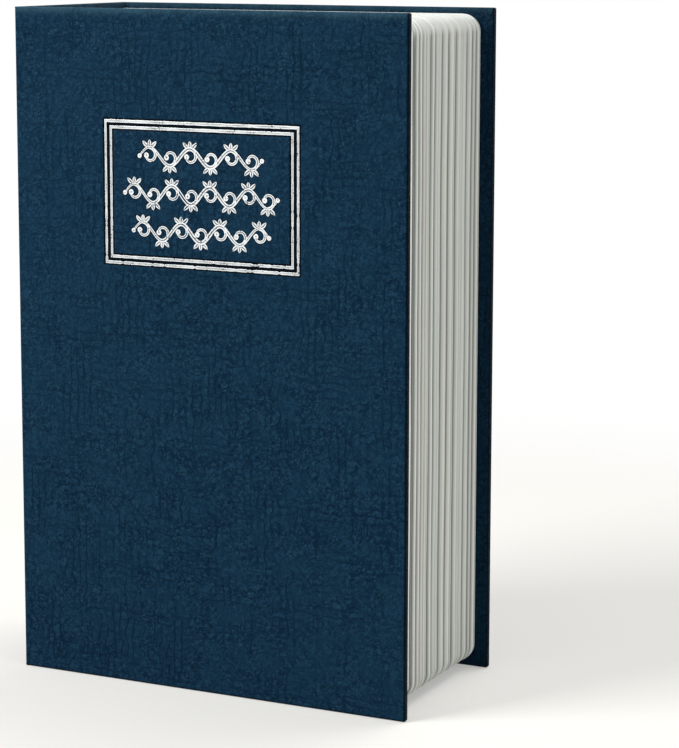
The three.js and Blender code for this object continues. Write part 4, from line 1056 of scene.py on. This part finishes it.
# Lid: one sheet whose front is a smooth height field, with a turned-down rim on three sides.

lid = {
    "sheet": 1.0,
    "depth": 9.0,
    "ramp": 4.6,
    "endRamp": 2.0,
    "left": 2.2,
    "right": 2.6,
    "ends": 3.0,
    "bend": 0.13,            # share of a ramp that each bend rounds
    "rimDepth": 4.0,
    "rimInset": 1.3,
    "rimCorner": 2.0,
    "rimStart": 0.6,         # the rim begins this far inside the hinge edge, and this share of the sheet deep
    "pitch": (1.5, 0.22),    # of the flat faces and near a bend
    "nearBend": (0.9, 0.5),  # how far the close pitch reaches on each side of a bend: side ramps, end ramps
}
# The borders of the lid's recess, along X and along Z.
mouth = [(bezelLow[axis] - before - ramp, bezelHigh[axis] + after + ramp)
         for axis, before, after, ramp in ((0, lid["left"], lid["right"], lid["ramp"]),
                                           (2, lid["ends"], lid["ends"], lid["endRamp"]))]
paints["hammertoneLid"] = hammerPaint("hammertone_pressed", *mouth)


def softClamp(t, r):
    # t held between 0 and 1, with the two bends rounded by parabolas of half width r.
    low = np.where(t < -r, 0, np.where(t > r, t, (t + r) ** 2 / (4 * r)))
    return np.where(t > 1 + r, 1, np.where(t < 1 - r, low, 1 - (1 + r - t) ** 2 / (4 * r)))


def lidSheet():
    x0, x1, z0, z1 = lidLow[0], lidHigh[0], lidLow[2], lidHigh[2]
    pitch, closePitch = lid["pitch"]
    grid = []
    for (outerLow, outerHigh), ramp, near, low, high in zip(
            mouth, (lid["ramp"], lid["endRamp"]), lid["nearBend"], (x0, z0), (x1, z1)):
        bends = (outerLow, outerLow + ramp, outerHigh - ramp, outerHigh)
        marks = [m for bend in bends for m in np.arange(bend - near, bend + near, closePitch)]
        grid.append(stations(low, high, pitch, marks))
    xs, zs = grid
    gx, gz = np.meshgrid(xs, zs, indexing="ij")
    (mouthLow, mouthHigh), (tailEnd, headEnd) = mouth
    sides = np.minimum(gx - mouthLow, mouthHigh - gx) / lid["ramp"]
    ends = np.minimum(gz - tailEnd, headEnd - gz) / lid["endRamp"]
    dip = lid["depth"] * softClamp(sides, lid["bend"]) * softClamp(ends, lid["bend"] * 1.4)
    front = lidLow[1] + dip
    slopeX, slopeZ = np.gradient(dip, xs, axis=0), np.gradient(dip, zs, axis=1)
    size = np.sqrt(1 + slopeX ** 2 + slopeZ ** 2)
    edge = np.minimum.reduce([gx - x0, x1 - gx, gz - z0, z1 - gz])
    inner = np.stack([gx - slopeX / size * lid["sheet"] * (edge > 0), front + lid["sheet"] / size,
                      gz - slopeZ / size * lid["sheet"] * (edge > 0)], -1)
    outer = np.stack([gx, front, gz], -1)
    count = gx.size
    ids = np.arange(count).reshape(gx.shape)
    quads = gridQuads(ids)
    rim = np.concatenate([ids[:-1, 0], ids[-1, :-1], ids[:0:-1, -1], ids[0, :0:-1]])
    around = np.stack([rim, np.roll(rim, -1), np.roll(rim, -1) + count, rim + count], -1)
    faces = quads.tolist() + (quads[:, ::-1] + count).tolist() + around.tolist()
    return np.concatenate([outer.reshape(-1, 3), inner.reshape(-1, 3)]), faces


def lidRim():
    # A flat strip on edge, carried round the tail, fore edge and head inside the tray's walls.
    inset, thick = lid["rimInset"], lid["sheet"]
    y0, y1 = lidLow[1] + thick * lid["rimStart"], lidLow[1] + lid["rimDepth"]
    x0, x1 = lidLow[0] + lid["rimStart"], lidHigh[0] - inset
    z0, z1 = lidLow[2] + inset, lidHigh[2] - inset
    radius = lid["rimCorner"]
    path = channelPath(x1, z0, z1, radius, [x0], [], np.linspace(0, math.pi / 2, 8))
    outer, inner = (path[:, :2] + path[:, 2:] * reach for reach in (radius, radius - thick))
    return skin(bandRings(outer, inner, y0, y1)[..., [0, 2, 1]])


makePiece("pressedLid", joined([lidSheet(), lidRim()]), "hammertone", "box_lid", ["lid"], 35, paint="hammertoneLid")
print("lid made")


# Lock: the knob, and the number wheels with their digits.

def roundedProfile(points, radius, steps=5):
    # A polyline of (radius, y) whose inner corners are replaced by arcs, drawn as quadratic curves.
    points = np.array(points)
    out = [points[0]]
    for before, at, after in zip(points[:-2], points[1:-1], points[2:]):
        first, last = (at + (p - at) * min(radius / np.linalg.norm(p - at), 0.5) for p in (before, after))
        out += [(1 - t) ** 2 * first + 2 * t * (1 - t) * at + t * t * last for t in np.linspace(0, 1, steps)]
    return out + [points[-1]]


knob = {
    "drum": 6.1,
    "drumTop": 5.7,
    "step": 1.6,
    "dish": 0.35,
    "gripWidth": 2.3,
    "gripDepth": 0.8,
    "tilt": -0.35,
    "round": 0.4,
    "lip": (1.3, 0.5, 0.1),  # inner and outer reach of the drum's lip, and how far it slopes
    "flange": (0.25, 0.5),   # how far the flange's edge is drawn in, and how deep
    "gripShort": 0.9,
    "gripRise": 0.35,
    "gripSection": [(-1.15, 1.25), (-1.0, 0.5), (-0.8, 0.12), (-0.45, 0), (0.45, 0), (0.8, 0.12), (1.0, 0.5),
                    (1.15, 1.25)],
}
knobLow, knobHigh = boxOf("knob")
knobCentre = ((knobLow[0] + knobHigh[0]) / 2, (knobLow[2] + knobHigh[2]) / 2)
knobBase = (knobHigh[0] - knobLow[0]) / 2


def knobShape():
    y0, y1 = knobLow[1] + knob["gripDepth"], knobHigh[1]
    lipInner, lipOuter, lipSlope = knob["lip"]
    edgeIn, edgeDeep = knob["flange"]
    top, floorY, flangeY = knob["drumTop"], y0 + knob["dish"], y1 - knob["step"]
    outline = [(0.0, floorY), (top - lipInner, floorY), (top - lipOuter, y0), (top, y0 + lipSlope),
               (knob["drum"], flangeY), (knobBase - edgeIn, flangeY), (knobBase, flangeY + edgeDeep),
               (knobBase, y1), (0.0, y1)]
    drum = turned(roundedProfile(outline, knob["round"]), knobCentre, fullTurn(96))
    # The grip's half width follows the root of 1 - s^8, and its top rises with s^6 towards its ends.
    share = np.linspace(-1, 1, 25)
    line = np.stack([np.zeros(25), share * (top - knob["gripShort"])], 1)
    width = knob["gripWidth"] / 2 * np.sqrt(np.clip(1.02 - np.abs(share) ** 8, 0.04, 1))
    grip = ribbon(line, width, knob["gripSection"])
    grip[..., 2] += knob["gripRise"] * (np.abs(share) ** 6)[:, None]
    c, s = math.cos(knob["tilt"]), math.sin(knob["tilt"])
    x = knobCentre[0] + grip[..., 0] * c - grip[..., 1] * s
    z = knobCentre[1] + grip[..., 0] * s + grip[..., 1] * c
    return joined([skin(drum[..., [0, 2, 1]]), skin(np.stack([x, knobLow[1] + grip[..., 2], z], -1))])


makePiece("knobTurned", knobShape(), "black_plastic", "knob_and_cam", ["knob"], 45)

wheel = {
    "digits": 10,
    "sides": 240,
    "radius": 4.4,
    "notch": 0.35,
    "arcShare": 0.82,        # of each tenth of a turn, before the notch begins
    "bore": 2.45,
    "bevel": 0.3,
    "digitWidth": 1.75,
    "digitHeight": 2.9,
    "stroke": 0.56,
    "strokeStep": 0.45,
    "raise": 0.03,
}
digitLines = {
    # Each number as strokes between named corners of a narrow cell: top, middle or bottom, then left, centre or right.
    0: ["tl tr br bl tl"],
    1: ["tc bc"],
    2: ["tl tr mr ml bl br"],
    3: ["tl tr br bl", "ml mr"],
    4: ["tl ml mr", "tr br"],
    5: ["tr tl ml mr br bl"],
    6: ["tr tl bl br mr ml"],
    7: ["tl tr bc"],
    8: ["tl tr br bl tl", "ml mr"],
    9: ["ml mr tr tl ml", "mr br bl"],
}


def strokes(value):
    # The number's lines in millimetres about its middle, with rounded corners.
    rowsAt, columnsAt = {"t": 0.5, "m": 0.02, "b": -0.5}, {"l": -0.5, "c": 0.0, "r": 0.5}
    lines = []
    for words in digitLines[value]:
        names = words.split()
        closed = names[0] == names[-1] == "tl"
        flat = np.array([(columnsAt[n[1]] * wheel["digitWidth"], rowsAt[n[0]] * wheel["digitHeight"]) for n in names])
        dense = []
        for a, b in zip(flat[:-1], flat[1:]):
            steps = max(2, int(np.linalg.norm(b - a) / wheel["strokeStep"]))
            dense += [a + (b - a) * k / steps for k in range(steps)]
        if not closed:
            dense.append(flat[-1])
        lines.append((smoothLine(dense, closed), closed))
    return lines


def wheelShape(centre, z0, z1):
    # Ten shallow arcs with a notch between each two, carried up the wheel, with drawn-in rims.
    step = 2 * math.pi / wheel["digits"]
    angle = fullTurn(wheel["sides"], -math.pi)
    phase = np.abs(((angle + math.pi / 2) / step + 0.5) % 1 - 0.5) * 2
    radius = wheel["radius"] - wheel["notch"] * smoothStep(phase, wheel["arcShare"], 1.0)
    bevel = wheel["bevel"]
    profile = [(wheel["bore"], z1), (wheel["bore"], z0), (radius - bevel, z0), (radius - bevel * 0.3, z0 + bevel * 0.3),
               (radius, z0 + bevel), (radius, z1 - bevel), (radius - bevel * 0.3, z1 - bevel * 0.3),
               (radius - bevel, z1)]
    return skin(turned(profile, centre, angle), loop=True)


def digitRing(centre, middle):
    # Number n stands n tenths of a turn round the wheel, so that 0 faces the front and 9 is on its left.
    section = [(-1, -0.25), (-1, 0.0), (-0.7, wheel["raise"]), (0.7, wheel["raise"]), (1, 0.0), (1, -0.25)]
    parts = []
    for value in range(wheel["digits"]):
        turn = -math.pi / 2 + 2 * math.pi * value / wheel["digits"]
        for line, closed in strokes(value):
            rings = ribbon(line, wheel["stroke"] / 2, section, closed)
            angle = turn + rings[..., 0] / wheel["radius"]
            radius = wheel["radius"] + rings[..., 2]
            x, y = centre[0] + radius * np.cos(angle), centre[1] + radius * np.sin(angle)
            parts.append(skin(np.stack([x, y, middle + rings[..., 1]], -1), loop=closed))
    return joined(parts)


for number in (1, 2, 3):
    low, high = boxOf(f"dial_wheel_{number}")
    sleeveLow, sleeveHigh = boxOf(f"dial_sleeve_{number}")
    centre = (sleeveLow + sleeveHigh)[:2] / 2
    body = f"dial_{number}"
    makePiece(f"numberWheel{number}", wheelShape(centre, low[2], high[2]), "black_plastic", body,
              [f"dial_wheel_{number}"], 50)
    makePiece(f"digits{number}", digitRing(centre, (low[2] + high[2]) / 2), "white_paint", body, (), 50)
print("lock made")


# CAD nodes that stay: each gets its slot's material, and the ones that show get edges softened by so many millimetres.

softEdges = {
    0.15: ("lock_plate", "code_lever", "lock_screw_1", "lock_screw_2"),
    0.2: ("tray_hinge_leaf", "lid_hinge_leaf", "latch_cam", "hinge_pin", "page_frame_screw_1", "page_frame_screw_2",
          "page_frame_screw_3", "page_frame_screw_4"),
    0.25: ("strike_plate", "lock_back_cover", "cam_nut"),
    0.3: ("tray", "lock_body"),
    0.4: ("lock_bezel",),
}
edgeOf = {node: width for width, nodes in softEdges.items() for node in nodes}
slotOf = {part["node"]: part["material_slot"] for part in frame["record"]["subparts"]}
for node, piece in frame["nodes"].items():
    piece.data.materials.clear()
    piece.data.materials.append(paints[slotOf[node]])
    if node in edgeOf:
        weld = piece.modifiers.new("weld", "WELD")
        weld.merge_threshold = 1e-6
        bevel = piece.modifiers.new("bevel", "BEVEL")
        bevel.width = edgeOf[node] * millimetre
        bevel.segments = 3
        bevel.limit_method = "ANGLE"
        bevel.angle_limit = math.radians(40)
        bevel.use_clamp_overlap = True
print("CAD nodes finished")


# Floor, world, lights and camera

studio = {
    "floorColor": (206, 204, 198),
    "floorGlow": 0.31,
    "floorFar": (220, 400),  # how far from the middle the floor turns plain white
    "floorReach": 6000,
    "floorDrop": 0.1,
    "world": 0.36,
    "key": {"at": (-0.42, -0.5, 0.62), "size": 0.4, "power": 6.0},
    "top": {"at": (0.3, 0.6, 1.4), "size": 0.8, "power": 9.4},
    "fill": {"at": (1.3, -0.5, 0.5), "size": 1.0, "power": 4.0},
}


def worldPaint():
    # Plain light for the object, and a white of strength 1 for what looks at it.
    tree = Tree(bpy.data.worlds.new("studio_white"))
    strength = tree.node("MapRange", {}, {0: tree.seen(), 3: studio["world"], 4: 1.0})
    light = tree.node("Background", {}, {"Color": (1.0, 1.0, 1.0), "Strength": strength})
    tree.node("OutputWorld", {}, {"Surface": light})
    return tree.owner


def floorPaint():
    # A matt floor with some glow of its own for what looks at it, and plain white far from the object.
    paint = Paint("floor_white")
    seen = paint.seen()
    matt = paint.node("BsdfDiffuse", {}, {"Color": linear(studio["floorColor"])})
    glow = paint.node("Emission", {}, {"Strength": seen * studio["floorGlow"]})
    near = paint.node("AddShader", {}, {0: matt, 1: glow})
    away = paint.node("VectorMath", {"operation": "LENGTH"}, {0: paint.place}, out=1)
    far = paint.step(away, *studio["floorFar"]) * seen
    return paint.end(paint.node("MixShader", {}, {0: far, 1: near, 2: paint.node("Emission")}))


bpy.context.scene.world = worldPaint()
floorMesh = bpy.data.meshes.new("floor")
square = np.array([(-1, -1, 0), (1, -1, 0), (1, 1, 0), (-1, 1, 0)]) * studio["floorReach"]
floorMesh.from_pydata(((square - (0, 0, studio["floorDrop"])) * millimetre).tolist(), [], [(0, 1, 2, 3)])
floorMesh.materials.append(floorPaint())
floor = bpy.data.objects.new("floor", floorMesh)
bpy.context.scene.collection.objects.link(floor)

target = Vector((0, 0, bookHeight / 2)) * millimetre
for name in ("key", "top", "fill"):
    lamp = bpy.data.lights.new(name, "AREA")
    lamp.shape = "SQUARE"
    lamp.size = studio[name]["size"]
    lamp.energy = studio[name]["power"]
    holder = bpy.data.objects.new(name, lamp)
    holder.location = studio[name]["at"]
    holder.rotation_euler = (target - holder.location).to_track_quat("-Z", "Y").to_euler()
    bpy.context.scene.collection.objects.link(holder)

view = {
    "place": (313.6, -588.79, 198.4),
    "azimuth": 0.45572,
    "elevation": 0.1496,
    "roll": 0.00198,
    "focal": 2502.2,         # in pixels of the photograph
    "size": (679, 748),
    "axis": (339.5, 314.0),  # pixel where the optical axis meets the photograph
}
sensor = 36.0
longSide = max(view["size"])
cameraData = bpy.data.cameras.new("camera")
cameraData.sensor_width = sensor
cameraData.lens = view["focal"] / longSide * sensor
cameraData.shift_x = (view["size"][0] / 2 - view["axis"][0]) / longSide
cameraData.shift_y = (view["axis"][1] - view["size"][1] / 2) / longSide
cameraData.clip_start = 0.01
cameraObject = bpy.data.objects.new("camera", cameraData)
azimuth, elevation = view["azimuth"], view["elevation"]
forward = Vector((-math.sin(azimuth) * math.cos(elevation), math.cos(azimuth) * math.cos(elevation),
                  -math.sin(elevation)))
turn = forward.to_track_quat("-Z", "Y").to_matrix().to_4x4() @ Matrix.Rotation(view["roll"], 4, "Z")
cameraObject.matrix_world = Matrix.Translation(Vector(view["place"]) * millimetre) @ turn
bpy.context.scene.collection.objects.link(cameraObject)
bpy.context.scene.camera = cameraObject
bpy.context.scene.view_settings.view_transform = "Standard"

print("scene ready")
